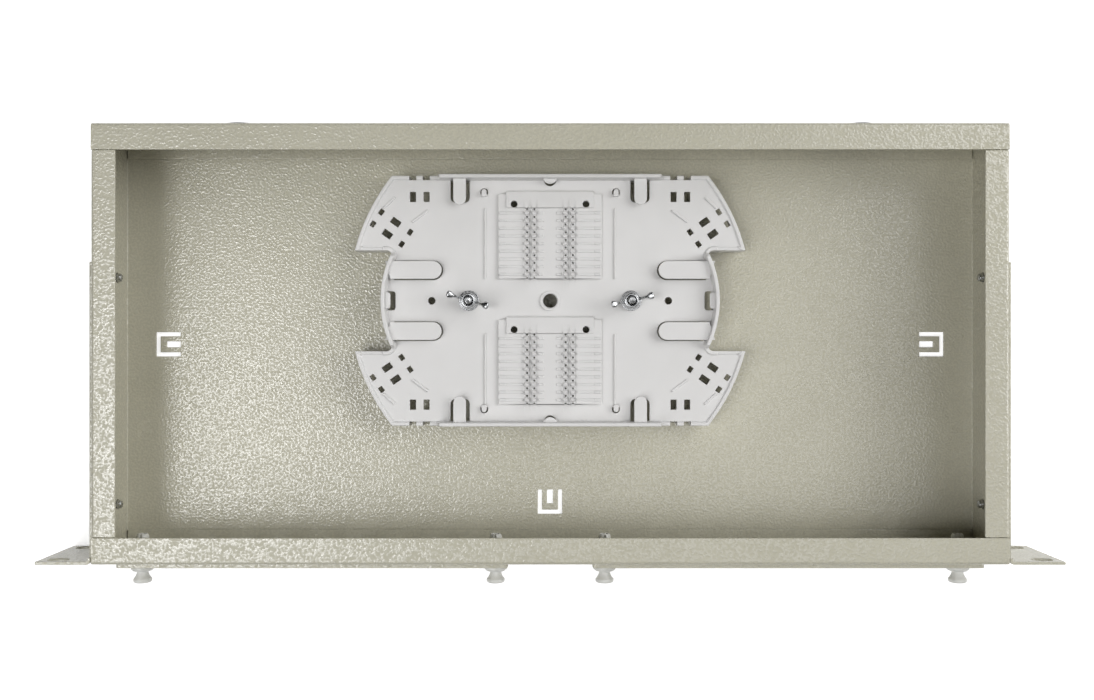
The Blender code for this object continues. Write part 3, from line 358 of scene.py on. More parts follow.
def zinc_plate():
    """Bright metal with a faint cloud in its tone, its gloss and its surface."""
    metal = finish("zinc_plate", Metallic=1.0)
    place = object_place(metal)
    cloud = add(metal, "TexNoise", {"Vector": place, "Scale": 900.0, "Detail": 3.0})
    colour = tones(metal, cloud, 0.3, 0.7, (0.44, 0.45, 0.46), (0.60, 0.61, 0.62))
    rough = levels(metal, cloud, 0.3, 0.7, 0.20, 0.32)
    bump = add(metal, "Bump", {"Height": cloud, "Strength": 0.15, "Distance": 0.0001})
    feed(metal, Base_Color=colour, Roughness=rough, Normal=bump)
    return metal


zinc = zinc_plate()


def room(node):
    """The lowest corner, the highest corner and the middle of a node's box."""
    low, high = (np.array(corner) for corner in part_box(node))
    return low, high, (low + high) / 2


def placed(part, shift, axes=(0, 1, 2), signs=(1, 1, 1)):
    """A part with its axes taken in a new order, mirrored by signs and then shifted."""
    points, faces = part
    return points[:, axes] * np.array(signs) + np.array(shift), faces


def pan_screw(length):
    """Rows of radius and height from the middle of the head to the tip, turned about z. The head falls off by
    a power of the radius, and two crossed arms lower it further, less towards their ends and sides."""
    shank, head, rim, dome, chamfer = 0.0020, 0.0036, 0.0010, 0.0014, 0.0004
    arm, half_width, slope, end_slope, depth, flatness = 0.0019, 0.00045, 0.00015, 0.00045, 0.0011, 2.4
    out = np.linspace(0, head, 40)
    seat = length - dome - rim
    radius = np.append(out, [head, shank, shank, shank - chamfer, 0])
    height = np.append(length - dome * (out / head) ** flatness, [seat, seat, chamfer, 0, 0])
    spin = radius[:, None] * np.exp(1j * np.linspace(0, 2 * np.pi, 64, endpoint=False))
    x, y = abs(spin.real), abs(spin.imag)
    arms = np.minimum(np.clip((arm - np.maximum(x, y)) / end_slope, 0, 1),
                      np.clip((half_width - np.minimum(x, y)) / slope, 0, 1))
    sunk = np.where(np.arange(len(radius)) < len(out), depth, 0)[:, None] * arms
    return skin(np.stack([spin.real, spin.imag, height[:, None] - sunk], -1)[None], capped=False)


for hand, side in SIDES.items():
    for place in ("rear_lower", "rear_upper", "front_lower", "front_upper"):
        node = f"{hand}_{place}_ear_screw"
        low, high, middle = room(node)
        tip = low[0] if side > 0 else high[0]
        screw = placed(pan_screw(high[0] - low[0]), (tip, middle[1], middle[2]), (2, 0, 1), (side, 1, 1))
        piece(f"{node}_fine", [screw], zinc, "case", node)

# Cable grommets: black rubber rings with a groove and sloping lips, pressed into the round cable
# entries of the rear wall.


def black_rubber():
    """Dull black with a grey bloom, which also stands up a little."""
    rubber = finish("black_rubber", Roughness=0.62)
    place = object_place(rubber)
    bloom = add(rubber, "TexNoise", {"Vector": place, "Scale": 260.0, "Detail": 4.0})
    colour = tones(rubber, bloom, 0.35, 0.7, (0.022, 0.022, 0.023), (0.045, 0.044, 0.043))
    bump = add(rubber, "Bump", {"Height": bloom, "Strength": 0.2, "Distance": 0.0002})
    feed(rubber, Base_Color=colour, Normal=bump)
    return rubber


rubber = black_rubber()


def lathe(profile, sides=48):
    """A profile of radius and height, as complex numbers, turned about z."""
    spin = profile.real[:, None] * np.exp(1j * np.linspace(0, 2 * np.pi, sides, endpoint=False))
    height = np.broadcast_to(profile.imag[:, None], spin.shape)
    return skin(np.stack([spin.real, spin.imag, height], -1)[None], capped=False)


def turned_ring(section, sides=48):
    """A closed section turned about z: the profile ends where it began."""
    return lathe(np.append(section, section[0]), sides)


for hand in SIDES:
    node = f"{hand}_cable_grommet"
    low, high, middle = room(node)
    bore, crown, neck, rim, soft = 0.0075, 0.0084, 0.0110, 0.0135, 0.0004
    reach, groove, lip = (high[1] - low[1]) / 2, 0.0009, 0.0008
    half = np.array([bore - 1j * reach, crown - 1j * reach, rim - 1j * (groove + lip),
                     rim - 1j * groove, neck - 1j * groove])
    ring = turned_ring(eased(np.concatenate([half, half.conj()[::-1]]), soft), 72)
    piece(f"{node}_fine", [placed(ring, middle, (0, 2, 1))], rubber, "case", node)

# Tray studs: steel studs with an M4 thread, welded to the floor on a small flange. They carry the
# tray and its wing nuts.
STUD_RADIUS, STUD_PITCH = 0.0020, 0.0007


def threaded_stud(foot, tip):
    """Radius by angle and height: a triangle wave that climbs one pitch per turn, cut back by a cone at the
    tip. Below it is the flange, and above it the end, which is slightly dished."""
    flange, flange_top, depth, chamfer, dish = 0.0028, foot + 0.0009, 0.00034, 0.0005, 0.0002
    rows_per_pitch = 8
    angle = np.linspace(0, 2 * np.pi, 32, endpoint=False)
    height = np.arange(flange_top, tip, STUD_PITCH / rows_per_pitch)[:, None]
    climb = height / STUD_PITCH - angle / (2 * np.pi)
    thread = STUD_RADIUS - depth * abs(2 * (climb % 1) - 1)
    end = STUD_RADIUS - chamfer
    thread = np.minimum(thread, end + tip - height)
    level = np.ones(len(angle))
    below, above = np.array([0, flange, flange]), end * np.array([1, 0.9, 0.4, 0])
    radius = np.vstack([below[:, None] * level, thread, above[:, None] * level])
    end_rows = [[tip], [tip], [tip - dish / 2], [tip - dish]]
    height = np.vstack([[[foot], [foot], [flange_top]], height, end_rows])
    spin = radius * np.exp(1j * angle)
    return skin(np.stack([spin.real, spin.imag, height * level], -1)[None], capped=False)


for hand in SIDES:
    node = f"{hand}_tray_stud"
    low, high, middle = room(node)
    stud = placed(threaded_stud(low[2], high[2]), (middle[0], middle[1], 0))
    piece(f"{node}_fine", [stud], zinc, "case", node)

# Tray spacers: plain bushes, turned from natural nylon. They are slipped over the studs and hold
# the tray off the floor.


def natural_nylon():
    """Milky plastic with a slow cloud in its tone and its surface."""
    nylon = finish("natural_nylon", Roughness=0.36, Subsurface_Weight=0.15,
                   Subsurface_Radius=(1.0, 0.97, 0.93), Subsurface_Scale=0.0015)
    place = object_place(nylon)
    cloud = add(nylon, "TexNoise", {"Vector": place, "Scale": 300.0, "Detail": 3.0})
    colour = tones(nylon, cloud, 0.35, 0.65, (0.70, 0.70, 0.66), (0.78, 0.78, 0.75))
    bump = add(nylon, "Bump", {"Height": cloud, "Strength": 0.1, "Distance": 0.0002})
    feed(nylon, Base_Color=colour, Normal=bump)
    return nylon


nylon = natural_nylon()


def rim_box(inner, outer, low, high):
    """The four corners of a ring's section."""
    return np.array([inner + 1j * low, outer + 1j * low, outer + 1j * high, inner + 1j * high])


for hand in SIDES:
    node = f"{hand}_tray_spacer"
    low, high, middle = room(node)
    bore, outer, soft = 0.0032, 0.0045, 0.0003
    bush = turned_ring(eased(rim_box(bore, outer, low[2], high[2]), soft))
    piece(f"{node}_fine", [placed(bush, (middle[0], middle[1], 0))], nylon, "case", node)

# Splice tray: white plastic, moulded in one with its rim, wings, fibre lips, tie slots and guide
# ribs. It sits on the spacers over the two studs, under the wing nuts.
TRAY_Y, TRAY_Z, TRAY_SKIRT = 0.0214, 0.0133, 0.0095
TRAY_HALF, TRAY_FLOOR, TRAY_HEIGHT, TRAY_WALL = 0.0617, 0.0016, 0.0080, 0.0018
SIDE_REACH, SIDE_RADIUS = 0.0829, 0.053
WING_RADIUS, WING_EDGE, WING_RIM, WING_INNER = 0.0995, 0.0248, 0.0008, 0.0555
NOTCHES, NOTCH_WIDTH, NOTCH_DEPTH = (0.0677, 0.0610), 0.0035, 0.0021
LIP_U, HOOK_U, STUD_U = 0.0444, 0.0325, 0.0400
HOLDER_V, COMB_END, COMB_PITCH, COMB_RIBS = (0.0281, -0.0337), 0.01742, 0.00378, 9
HOLDER_HOLE, HOLDER_HOLE_U, HOLDER_HOLE_V = 0.0017, 0.0177, COMB_END + 0.0020
FINGERS_U, DOT = np.array([-0.0113, -0.0077, 0.0077, 0.0113]), 0.0005
BETWEEN_RIBS = (np.arange(COMB_RIBS + 1) - COMB_RIBS / 2) * COMB_PITCH


def tray_plastic():
    """White with a faint slow cloud in its tone and gloss, and a fine moulded grain."""
    plastic = finish("white_tray_plastic", IOR=1.5, Subsurface_Weight=0.2,
                     Subsurface_Radius=(1.0, 0.97, 0.93), Subsurface_Scale=0.0008)
    place = object_place(plastic)
    cloud = add(plastic, "TexNoise", {"Vector": place, "Scale": 60.0, "Detail": 4.0})
    grain = add(plastic, "TexNoise", {"Vector": place, "Scale": 2600.0, "Detail": 2.0})
    colour = tones(plastic, cloud, 0.3, 0.7, (0.745, 0.737, 0.727), (0.772, 0.764, 0.755))
    rough = levels(plastic, cloud, 0.3, 0.7, 0.36, 0.46)
    bump = add(plastic, "Bump", {"Height": grain, "Strength": 0.12, "Distance": 0.00005})
    feed(plastic, Base_Color=colour, Roughness=rough, Normal=bump)
    return plastic


plastic = tray_plastic()


def quartered(part):
    """A part of the tray's right rear quarter, and its mirror images in the other three."""
    return [placed(part, (0, 0, 0), signs=(across, along, 1)) for across in (1, -1) for along in (1, -1)]


def tongue(width, roots, tip):
    """A strip from its two roots along the real axis, with a round end."""
    half = width / 2
    end = tip - half + half * np.exp(1j * np.linspace(-np.pi / 2, np.pi / 2, 15))
    return np.concatenate([[roots[0] - 1j * half], end, [roots[1] + 1j * half]])


def tray_edge(inset):
    """The tray's outline, drawn in by inset, counter-clockwise from the middle of the right side: the side's
    arc, a fillet, the wing's straight edge and arc, half the long edge with doubled points at the notches,
    and the mirror images. Also gives, for each point, whether it lies in a notch and whether it lies on a
    wing's open edge."""
    wing_fillet = 0.0024
    side, fillet = SIDE_RADIUS - inset, wing_fillet + inset
    edge, wing, long = WING_EDGE + inset, WING_RADIUS - inset, TRAY_HALF - inset
    centre = SIDE_REACH - SIDE_RADIUS
    bend_v = edge - fillet
    bend_u = centre + math.sqrt((side + fillet) ** 2 - bend_v**2)
    lean = math.atan2(bend_v, bend_u - centre)
    tip = math.sqrt(wing**2 - edge**2)
    corner = math.sqrt(wing**2 - long**2)
    cuts = [(u + NOTCH_WIDTH / 2, u - NOTCH_WIDTH / 2) for u in NOTCHES]
    runs = [
        (centre + side * np.exp(1j * np.linspace(0, lean, 40)), 0, 0),
        (bend_u + 1j * bend_v + fillet * np.exp(1j * np.linspace(np.pi + lean, np.pi / 2, 10)[1:]), 0, 0),
        (np.linspace(bend_u, tip, 40)[1:-1] + 1j * edge, 0, 1),
        (wing * np.exp(1j * np.linspace(math.asin(edge / wing), math.asin(long / wing), 70)), 0, 0),
        (np.linspace(corner, cuts[0][0], 12)[1:] + 1j * long, 0, 0),
        (np.array(cuts[0]) + 1j * long, 1, 0),
        (np.linspace(cuts[0][1], cuts[1][0], 8) + 1j * long, 0, 0),
        (np.array(cuts[1]) + 1j * long, 1, 0),
        (np.linspace(cuts[1][1], 0, 80) + 1j * long, 0, 0),
    ]
    quarter = np.concatenate([run for run, _, _ in runs])
    flags = np.concatenate([np.tile([[notch, sill]], (len(run), 1)) for run, notch, sill in runs])
    whole = np.concatenate([quarter[:-1], -quarter.conj()[:0:-1], -quarter[:-1], quarter.conj()[:0:-1]])
    both = np.concatenate([flags[:-1], flags[:0:-1], flags[:-1], flags[:0:-1]]).astype(bool)
    return whole, both[:, 0], both[:, 1]


def tray_rim():
    """The section of the rim and the skirt below it, carried along the tray's outline. Its height follows the
    outline: full along the sides and the middle of the long edges, low round the wings, almost nothing on
    their open edges. In a notch the section shrinks to a point inside the floor."""
    soft, sill, fillet, fillet_foot, foot = 0.0004, 0.0003, 0.0006, 0.0009, 0.0003
    ramp, ramp_end, under, sunk_in = 0.0012, WING_EDGE - 0.0016, 0.0002, 0.0004
    line, notch, wing_edge = tray_edge(0.0)
    u, v = abs(line.real), abs(line.imag)
    full = np.maximum(np.clip((WING_INNER - u) / ramp, 0, 1), np.clip((ramp_end - v) / ramp, 0, 1))
    full = full**2 * (3 - 2 * full)
    low = np.where(wing_edge & (u > SIDE_REACH) & (u < u.max() - TRAY_WALL), sill, WING_RIM)
    top = TRAY_FLOOR + low + (TRAY_HEIGHT - TRAY_FLOOR - low) * full
    skirt = [(foot, 0, -TRAY_SKIRT), (0, 0, foot - TRAY_SKIRT)]
    near = 0.3 * soft
    crest = [(0, 1, -soft), (near, 1, -near), (soft, 1, 0), (TRAY_WALL - soft, 1, 0),
             (TRAY_WALL - near, 1, -near), (TRAY_WALL, 1, -soft)]
    inside = [(TRAY_WALL + fillet, 0, TRAY_FLOOR - under), (TRAY_WALL, 0, fillet_foot),
              (TRAY_WALL, 0, foot - TRAY_SKIRT), (TRAY_WALL - foot, 0, -TRAY_SKIRT)]
    rows = []
    for inset, share, rise in skirt + crest + inside:
        here = tray_edge(inset)[0]
        sunk = here.real + 1j * np.sign(here.imag) * (TRAY_HALF - NOTCH_DEPTH - sunk_in)
        here = np.where(notch, sunk, here)
        rows.append(np.stack([here.real, here.imag, np.where(notch, TRAY_FLOOR / 2, share * top + rise)], -1))
    return skin(np.stack(rows + rows[:1])[None], capped=False)


def side_tongue(width, root, tip):
    """A lip of the round side, or its hole: each of its sides starts at its own depth there."""
    middle = 0.0150
    sides = np.array([middle - width / 2, middle + width / 2])
    roots = root + SIDE_RADIUS - np.sqrt(SIDE_RADIUS**2 - sides**2)
    return SIDE_REACH + 1j * middle - tongue(width, roots, tip)


def tie_slots():
    """The tie slots of one quarter: two behind the notches, and three leaning pairs on the wing."""
    notch_v, wing_middle, step, row = 0.0513j, 0.0783 + 0.0359j, 0.00865, 0.0036j
    notch_slot, end_slot, middle_slot, soft = (0.0030, 0.0050), (0.0024, 0.0030), (0.0050, 0.0032), 0.0003
    lean = np.exp(1j * math.radians(35))
    slots = [block(*notch_slot, u + notch_v) for u in NOTCHES]
    for along, size in ((-step, end_slot), (0, middle_slot), (step, end_slot)):
        slots += [wing_middle + lean * block(*size, along + way * row) for way in (-1, 1)]
    return [eased(slot, soft, 3) for slot in slots]


def tray_floor():
    """The floor as one sheet with every opening: round holes, tie slots, and windows below lips and hooks."""
    clear, rim_inset, underside, edge = TRAY_WALL + 0.0003, 0.0004, 0.0001, 0.00015
    rim, notch, _ = tray_edge(rim_inset)
    rim = np.where(notch, rim.real + 1j * np.sign(rim.imag) * (TRAY_HALF - NOTCH_DEPTH), rim)
    middle_hole, stud_hole, small_u, small_hole = 0.00345, 0.0024, 0.0584, 0.00185
    holes = [circle(0, middle_hole, 40)]
    for sign in (1, -1):
        holes += [circle(sign * small_u, small_hole), circle(sign * STUD_U, stud_hole)]
    for v in HOLDER_V:
        holes += [circle(sign * HOLDER_HOLE_U + 1j * (v + HOLDER_HOLE_V), HOLDER_HOLE) for sign in (1, -1)]
        holes += [circle(u + 1j * (v + row), DOT, 8) for u in FINGERS_U for row in BETWEEN_RIBS]
    deep, wide, corner = 0.0132, 0.0047, 0.0024
    bend = corner * np.exp(1j * np.linspace(0, np.pi / 2, 6)) + deep - corner + 1j * (wide - corner)
    window = np.concatenate([[clear - 1j * wide], bend.conj()[::-1], bend, [clear + 1j * wide]])
    side_wide, side_deep, hook_wide, hook_root, hook_tip = 0.0095, 0.03005, 0.0037, 0.0526, 0.05555
    quarter = tie_slots() + [LIP_U + 1j * TRAY_HALF - 1j * window, side_tongue(side_wide, clear, side_deep)]
    quarter.append(HOOK_U + 1j * tongue(hook_wide, (hook_root, hook_root), hook_tip))
    for hole in quarter:
        holes += [across * hole.real + 1j * along * hole.imag for across in (1, -1) for along in (1, -1)]
    end_wide, end_long, end_in, end_corner, moon_radius = 0.0045, 0.0094, 0.00435, 0.0016, 0.0030
    end = eased(block(end_wide, end_long, SIDE_REACH - end_in), end_corner)
    moon = np.exp(1j * np.linspace(0, np.pi, 20)) * moon_radius
    for sign in (1, -1):
        holes.append(sign * end)
        holes.append(moon.real + 1j * sign * (TRAY_HALF - clear - moon.imag))
    return plate([rim] + holes, underside, TRAY_FLOOR, edge)


def tray_trim():
    """Lips that hold the fibres down, hooks, guide ribs, ridges and the boss of the middle hole."""
    root, bed, soft = TRAY_WALL / 2, TRAY_FLOOR / 2, 0.0003
    lip = (TRAY_HEIGHT - 0.0037, TRAY_HEIGHT - 0.0025, soft)
    hook_top, rib_top, ridge_top = 0.0040, TRAY_FLOOR + 0.0007, TRAY_FLOOR + 0.0008
    lip_wide, lip_tip, side_wide, side_tip = 0.0062, 0.0147, 0.0088, 0.0297
    hook_wide, hook_root, hook_tip = 0.0024, 0.0513, 0.0549
    rib_wide, rib_corner = 0.0012, 0.0005
    tab_radius, end_wide, end_long, end_in, end_corner = 0.0036, 0.0036, 0.0080, 0.0027, 0.0014
    ridge_u, ridge_wide, ridge_corner, ridge_edge = 0.0320, 0.0008, 0.0003, 0.0002
    boss_bore, boss_rim = 0.00375, 0.0050
    parts = quartered(plate([LIP_U + 1j * TRAY_HALF - 1j * tongue(lip_wide, (root, root), lip_tip)], *lip))
    parts += quartered(plate([side_tongue(side_wide, root, side_tip)], *lip))
    hook = HOOK_U + 1j * tongue(hook_wide, (hook_root, hook_root), hook_tip)
    parts += quartered(plate([hook], bed, hook_top, soft))
    for start, end in ((0.0601 + 0.0447j, 0.0680 + 0.0388j), (0.0763 + 0.0511j, 0.0822 + 0.0457j)):
        along = end - start
        rib = (start + end) / 2 + along / abs(along) * block(abs(along), rib_wide)
        parts += quartered(plate([eased(rib, rib_corner)], bed, rib_top, soft))
    tab = tab_radius * np.exp(1j * np.linspace(0, np.pi, 24)) - 1j * root
    tab = np.append(tab[1:-1], [-tab_radius - 1j * root, tab_radius - 1j * root])
    for sign in (1, -1):
        end = eased(block(end_wide, end_long, SIDE_REACH - end_in), end_corner)
        parts.append(plate([sign * end], *lip))
        parts.append(plate([tab.real + 1j * sign * (TRAY_HALF - TRAY_WALL - tab.imag)], *lip))
        for v in HOLDER_V:
            ridge = eased(block(ridge_wide, 2 * COMB_END, sign * ridge_u + 1j * v), ridge_corner)
            parts.append(plate([ridge], bed, ridge_top, ridge_edge))
    parts.append(turned_ring(eased(rim_box(boss_bore, boss_rim, bed, ridge_top), soft)))
    return parts


tray = [placed(part, (0, TRAY_Y, TRAY_Z)) for part in [tray_floor(), tray_rim()] + tray_trim()]
piece("splice_tray_fine", tray, plastic, "case", "splice_tray")

# Sleeve holders: combs of the same white plastic with nine ribs each, for splice sleeves. Two pairs
# of sprung fingers on every rib grip a sleeve; a tab with two holes fixes the comb to the tray.
COMB_RIB, COMB_BASE = 0.0014, 0.0010


def copies(part, shifts):
    """A part repeated at each shift."""
    points, faces = part
    return joined([(points + shift, faces) for shift in shifts])


def sleeve_holder():
    """Base and tab as plates; one rib, end post and finger each, repeated over the rows. A finger is its side
    view drawn out along its width."""
    wide, tab, tab_end, shoulder = 0.0255, 0.0216, COMB_END + 0.0085, COMB_END + 0.0070
    tab_length, tab_top, soft = 0.0080, 0.0018, 0.0003
    bed, rib_top, finger_top = COMB_BASE / 2, COMB_BASE + 0.0004, COMB_BASE + 0.0010
    corner, base_edge, tab_edge, finger_corner = 0.0004, 0.0002, 0.00025, 0.00045
    post_u, post_wide, post_corner, post_top = 0.0235, 0.0034, 0.0006, rib_top + 0.0002
    half = np.array([wide - 1j * COMB_END, wide + 1j * shoulder, tab + 1j * shoulder, tab + 1j * tab_end])
    base = eased(np.concatenate([half, -half.conj()[::-1]]), corner, 4)
    holes = [circle(sign * HOLDER_HOLE_U + 1j * HOLDER_HOLE_V, HOLDER_HOLE) for sign in (1, -1)]
    dots = [circle(u + 1j * v, DOT, 8) for u in FINGERS_U for v in BETWEEN_RIBS]
    parts = [plate([base] + holes + dots, 0, COMB_BASE, base_edge)]
    raised = eased(block(2 * tab, tab_length, 1j * (COMB_END + tab_length / 2)), corner, 4)
    parts.append(plate([raised] + holes, bed, tab_top, tab_edge))
    rows = (np.arange(COMB_RIBS) - (COMB_RIBS - 1) / 2) * COMB_PITCH
    lines = np.stack([0 * rows, rows, 0 * rows], -1)
    for low, high in ((-0.0248, -0.0132), (-0.0058, -0.0030), (0.0030, 0.0058), (0.0132, 0.0248)):
        rib = eased(block(high - low, COMB_RIB, (low + high) / 2), corner, 4)
        parts.append(copies(plate([rib], bed, rib_top, soft), lines))
    for sign in (1, -1):
        post = eased(block(post_wide, COMB_RIB, sign * post_u), post_corner)
        parts.append(copies(plate([post], bed, post_top, soft), lines))
    neck, bulge, width = COMB_RIB / 2, COMB_RIB / 2 + 0.0004, 0.0025
    view = np.array([neck + 1j * bed, bulge + 1j * rib_top, neck / 2 + 1j * finger_top])
    view = eased(np.concatenate([view, -view.conj()[::-1]]), finger_corner)
    finger = placed(plate([view], -width / 2, width / 2, soft), (0, 0, 0), (2, 0, 1))
    return parts + [copies(finger, lines + (u, 0, 0)) for u in FINGERS_U]


comb = sleeve_holder()
for node, v in zip(("upper_sleeve_holder", "lower_sleeve_holder"), HOLDER_V):
    place = (0, TRAY_Y + v, TRAY_Z + TRAY_FLOOR + SEAT)
    parts = [placed(part, place) for part in comb]
    piece(f"{node}_fine", parts, plastic, "case", node)

# Washers and wing nuts: zinc-plated steel. The nut is a cast cone with two wings that rise and
# thicken to rounded pads; it runs down the stud's thread onto the washer and the tray.
NUT_TURN = {"left": math.radians(-17), "right": math.radians(13)}
NUT_BORE = 0.0024


def wing_pair():
    """Sections along each wing, from the hub outwards: height and thickness by share of the way, each section
    a rounded box, and the last ones shrinking to round off the pad."""
    root, reach, height, root_height = 0.0030, 0.0107, 0.0105, 0.0041
    half_web, swell, underside, climb = 0.0008, 0.0010, 0.0006, 0.0064
    pad_start, pad_slope, round_start, boxiness = 0.62, 22, 0.86, 0.55
    blunt, tip_height = 0.0004, 0.35
    share = np.linspace(0, 1, 28)[:, None]
    pad = 1 / (1 + np.exp(-(share - pad_start) * pad_slope))
    half = half_web + swell * pad
    low = underside + climb * share**1.5
    high = root_height + (height - root_height) * (1 - (1 - share) ** 2)
    past = np.clip(share - round_start, 0, 1) / (1 - round_start)
    tip = np.sqrt(np.clip(1 - past**2, blunt, 1))
    angle = np.linspace(0, 2 * np.pi, 28, endpoint=False)
    across = np.sign(np.cos(angle)) * abs(np.cos(angle)) ** boxiness
    up = np.sign(np.sin(angle)) * abs(np.sin(angle)) ** boxiness
    x = (root + (reach - root) * share) * np.ones_like(angle)
    y = half * tip * across
    z = (low + high) / 2 + (high - low) / 2 * (tip_height + (1 - tip_height) * tip) * up
    return skin(np.stack([np.stack([way * x, y, z], -1) for way in (1, -1)]))


def nut_hub():
    """A cone with a round bore: its section turned about z."""
    base, top, height, soft = 0.0044, 0.0036, 0.0046j, 0.0005
    return turned_ring(eased(np.array([NUT_BORE + 0j, base, top + height, NUT_BORE + height]), soft))


for hand in SIDES:
    washer, nut = f"{hand}_washer", f"{hand}_wing_nut"
    low, high, middle = room(washer)
    rim, soft = 0.0050, 0.00025
    flat = turned_ring(eased(rim_box(NUT_BORE, rim, low[2], high[2]), soft, 4))
    parts = [placed(flat, (middle[0], middle[1], 0))]
    piece(f"{washer}_fine", parts, zinc, f"{hand}_washer_body", washer)
    place = (middle[0], middle[1], room(nut)[0][2])
    parts = []
    for points, faces in (nut_hub(), wing_pair()):
        turned = (points[:, 0] + 1j * points[:, 1]) * np.exp(1j * NUT_TURN[hand])
        parts.append(placed((np.stack([turned.real, turned.imag, points[:, 2]], -1), faces), place))
    piece(f"{nut}_fine", parts, zinc, f"{hand}_nut_body", nut)

# Adapter plates: steel plates over the two windows of the front wall, each with a row of eight
# ports for adapters, painted with the case and held by a plunger at each end.
PLATE_REAR, PLATE_FRONT, PLATE_LONG, PLATE_HIGH = -0.1038, -0.1058, 0.185, 0.036
PORTS, PORT_PITCH, PORT_WIDE, PORT_HIGH = 8, 0.019375, 0.0096, 0.0134


def adapter_plate():
    """Outline, ports and plunger holes as one flat sheet."""
    port_corner, plate_corner, edge = 0.0003, 0.002, 0.00025
    ports = (np.arange(PORTS) - (PORTS - 1) / 2) * PORT_PITCH
    holes = [eased(block(PORT_WIDE, PORT_HIGH, x), port_corner, 3) for x in ports]
    holes += [circle(sign * PLUNGER_OUT, PLUNGER_HOLE, 32) for sign in (1, -1)]
    outline = eased(block(PLATE_LONG, PLATE_HIGH), plate_corner, 9)
    return plate([outline] + holes, PLATE_FRONT, PLATE_REAR, edge)


for hand in SIDES:
    node = f"{hand}_adapter_plate"
    parts = [placed(adapter_plate(), (room(node)[2][0], 0, MID_HEIGHT), (0, 2, 1))]
    piece(f"{node}_fine", parts, coat, f"{hand}_plate_body", node)

# Plungers and their grommets: moulded nylon. The grommet passes through plate and wall on split
# legs; pushing the pin home spreads them, and pulling the waisted knob lets the plate go.


def grommet():
    """A head and barrel as one turned ring, and two legs: their section carried round an arc each."""
    bore, barrel, head, chamfer, half_gap = 0.0018, 0.0031, 0.0055, 0.0010, 0.0006
    front, seat, split, legs, taper = -0.0065, -0.0023, 0.0027, 0.0115, 0.0102
    ring_soft, leg_soft = 0.0003, 0.0002
    ring = np.array([bore + 1j * front, head - chamfer + 1j * front, head + 1j * (front + chamfer),
                     head + 1j * seat, barrel + 1j * seat, barrel + 1j * split, bore + 1j * split])
    rooted, outer, tip = split - 0.0001, barrel - 0.00005, barrel - 0.00065
    leg = np.array([bore + 1j * rooted, outer + 1j * rooted, outer + 1j * taper,
                    tip + 1j * legs, bore + 1j * legs])
    gap = math.asin(half_gap / barrel)
    sweep = np.linspace(gap, np.pi - gap, 24) + np.array([[0], [np.pi]])
    section = eased(leg, leg_soft, 3)
    arc = section.real * np.exp(1j * (sweep[:, :, None] + np.pi / 2))
    height = np.broadcast_to(section.imag, arc.shape)
    return [turned_ring(eased(ring, ring_soft)), skin(np.stack([arc.real, arc.imag, height], -1))]


def plunger():
    """Radius along the axis: a rounded rim, a parabola down to the neck, then the pin."""
    front, tip, knob, head, neck, pin = -0.0068, 0.0115, -0.0122, 0.00445, 0.00275, 0.0014
    soft, waist_length = 0.0010, 0.0036
    edge = np.linspace(0, np.pi / 2, 6)
    rim = head - soft + soft * np.sin(edge) + 1j * (knob + soft - soft * np.cos(edge))
    left = np.linspace(1, 0, 16)
    waist = neck + (head - neck) * left**2 + 1j * (front - waist_length * left)
    rest = [pin + 1j * front, pin + 1j * (tip - pin), pin / 2 + 1j * tip, 1j * tip]
    return lathe(np.concatenate([[1j * knob], rim, waist, rest]))


for hand in SIDES:
    for end in ("inner", "outer"):
        bush, pin = f"{hand}_{end}_grommet", f"{hand}_{end}_plunger"
        place = (room(pin)[2][0], PLATE_REAR, MID_HEIGHT)
        parts = [placed(part, place, (0, 2, 1)) for part in grommet()]
        piece(f"{bush}_fine", parts, nylon, f"{hand}_plate_body", bush)
        parts = [placed(plunger(), place, (0, 2, 1))]
        piece(f"{pin}_fine", parts, nylon, f"{hand}_{end}_plunger_body", pin)

# The floor it stands on and the light: white paper, five round soft lamps and a dim room. The floor
# shows white to the camera and in reflections, and still takes a shadow.
FLOOR_HALF, FLOOR_Z, FLOOR_GLOW = 4, -0.0004, 0.6
LAMP_DISTANCE = 1.8

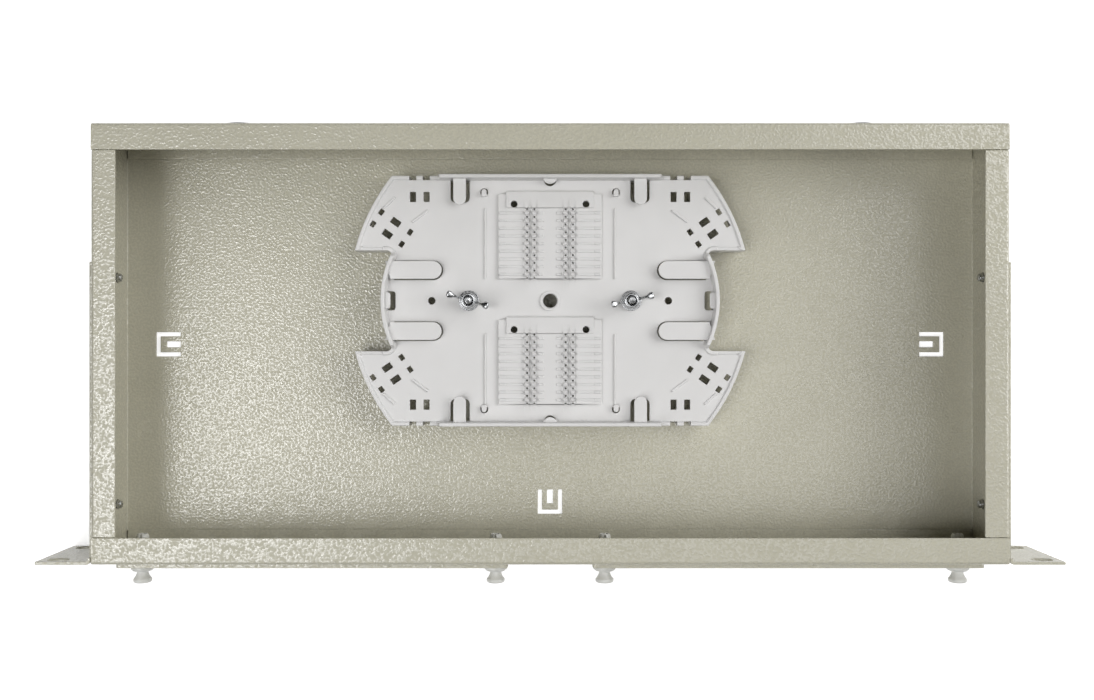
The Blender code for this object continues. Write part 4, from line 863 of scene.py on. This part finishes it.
corners = block(2 * FLOOR_HALF, 2 * FLOOR_HALF)
floor_mesh = bpy.data.meshes.new("floor")
floor_mesh.from_pydata([(corner.real, corner.imag, FLOOR_Z) for corner in corners], [], [(0, 1, 2, 3)])
floor = bpy.data.objects.new("floor", floor_mesh)
bpy.context.scene.collection.objects.link(floor)
paper = finish("white_paper", Base_Color=(0.85, 0.85, 0.85, 1.0), Roughness=0.9,
               Emission_Color=(1.0, 1.0, 1.0, 1.0))
rays = paper.node_tree.nodes.new("ShaderNodeLightPath").outputs
seen = add(paper, "Math", {0: rays["Is Camera Ray"], 1: rays["Is Glossy Ray"]}, operation="MAXIMUM")
seen = add(paper, "Math", {0: seen, 1: rays["Is Transmission Ray"]}, operation="MAXIMUM")
feed(paper, Emission_Strength=add(paper, "Math", {0: seen, 1: FLOOR_GLOW}, operation="MULTIPLY"))
floor_mesh.materials.append(paper)

for name, azimuth, off, size, power in (
    ("left_lamp", 212, 36, 1.6, 13.8),
    ("right_lamp", 30, 50, 1.6, 16.0),
    ("side_lamp", 0, 58, 0.9, 7.5),
    ("small_lamp", 191, 21.5, 0.48, 3.6),
    ("front_lamp", 325, 14, 0.9, 2.8),
):
    lamp = bpy.data.lights.new(name, "AREA")
    lamp.shape = "DISK"
    lamp.size = size
    lamp.energy = power
    azimuth, off = math.radians(azimuth), math.radians(off)
    towards = Vector((math.sin(off) * math.cos(azimuth), math.sin(off) * math.sin(azimuth), math.cos(off)))
    stand = bpy.data.objects.new(name, lamp)
    stand.location = LAMP_DISTANCE * towards
    stand.rotation_euler = towards.to_track_quat("Z", "Y").to_euler()
    bpy.context.scene.collection.objects.link(stand)

world = bpy.data.worlds.new("room")
bpy.context.scene.world = world
world.use_nodes = True
world.node_tree.nodes["Background"].inputs["Color"].default_value = (1, 1, 1, 1)
world.node_tree.nodes["Background"].inputs["Strength"].default_value = 0.005

camera = bpy.data.objects.new("camera", bpy.data.cameras.new("camera"))
bpy.context.scene.collection.objects.link(camera)
camera.location = (-0.0015, -0.0029, 0.564)
camera.data.lens = 36.6
camera.data.sensor_width = 36.0
camera.data.clip_start = 0.01
bpy.context.scene.camera = camera

bpy.context.scene.view_settings.view_transform = "Standard"
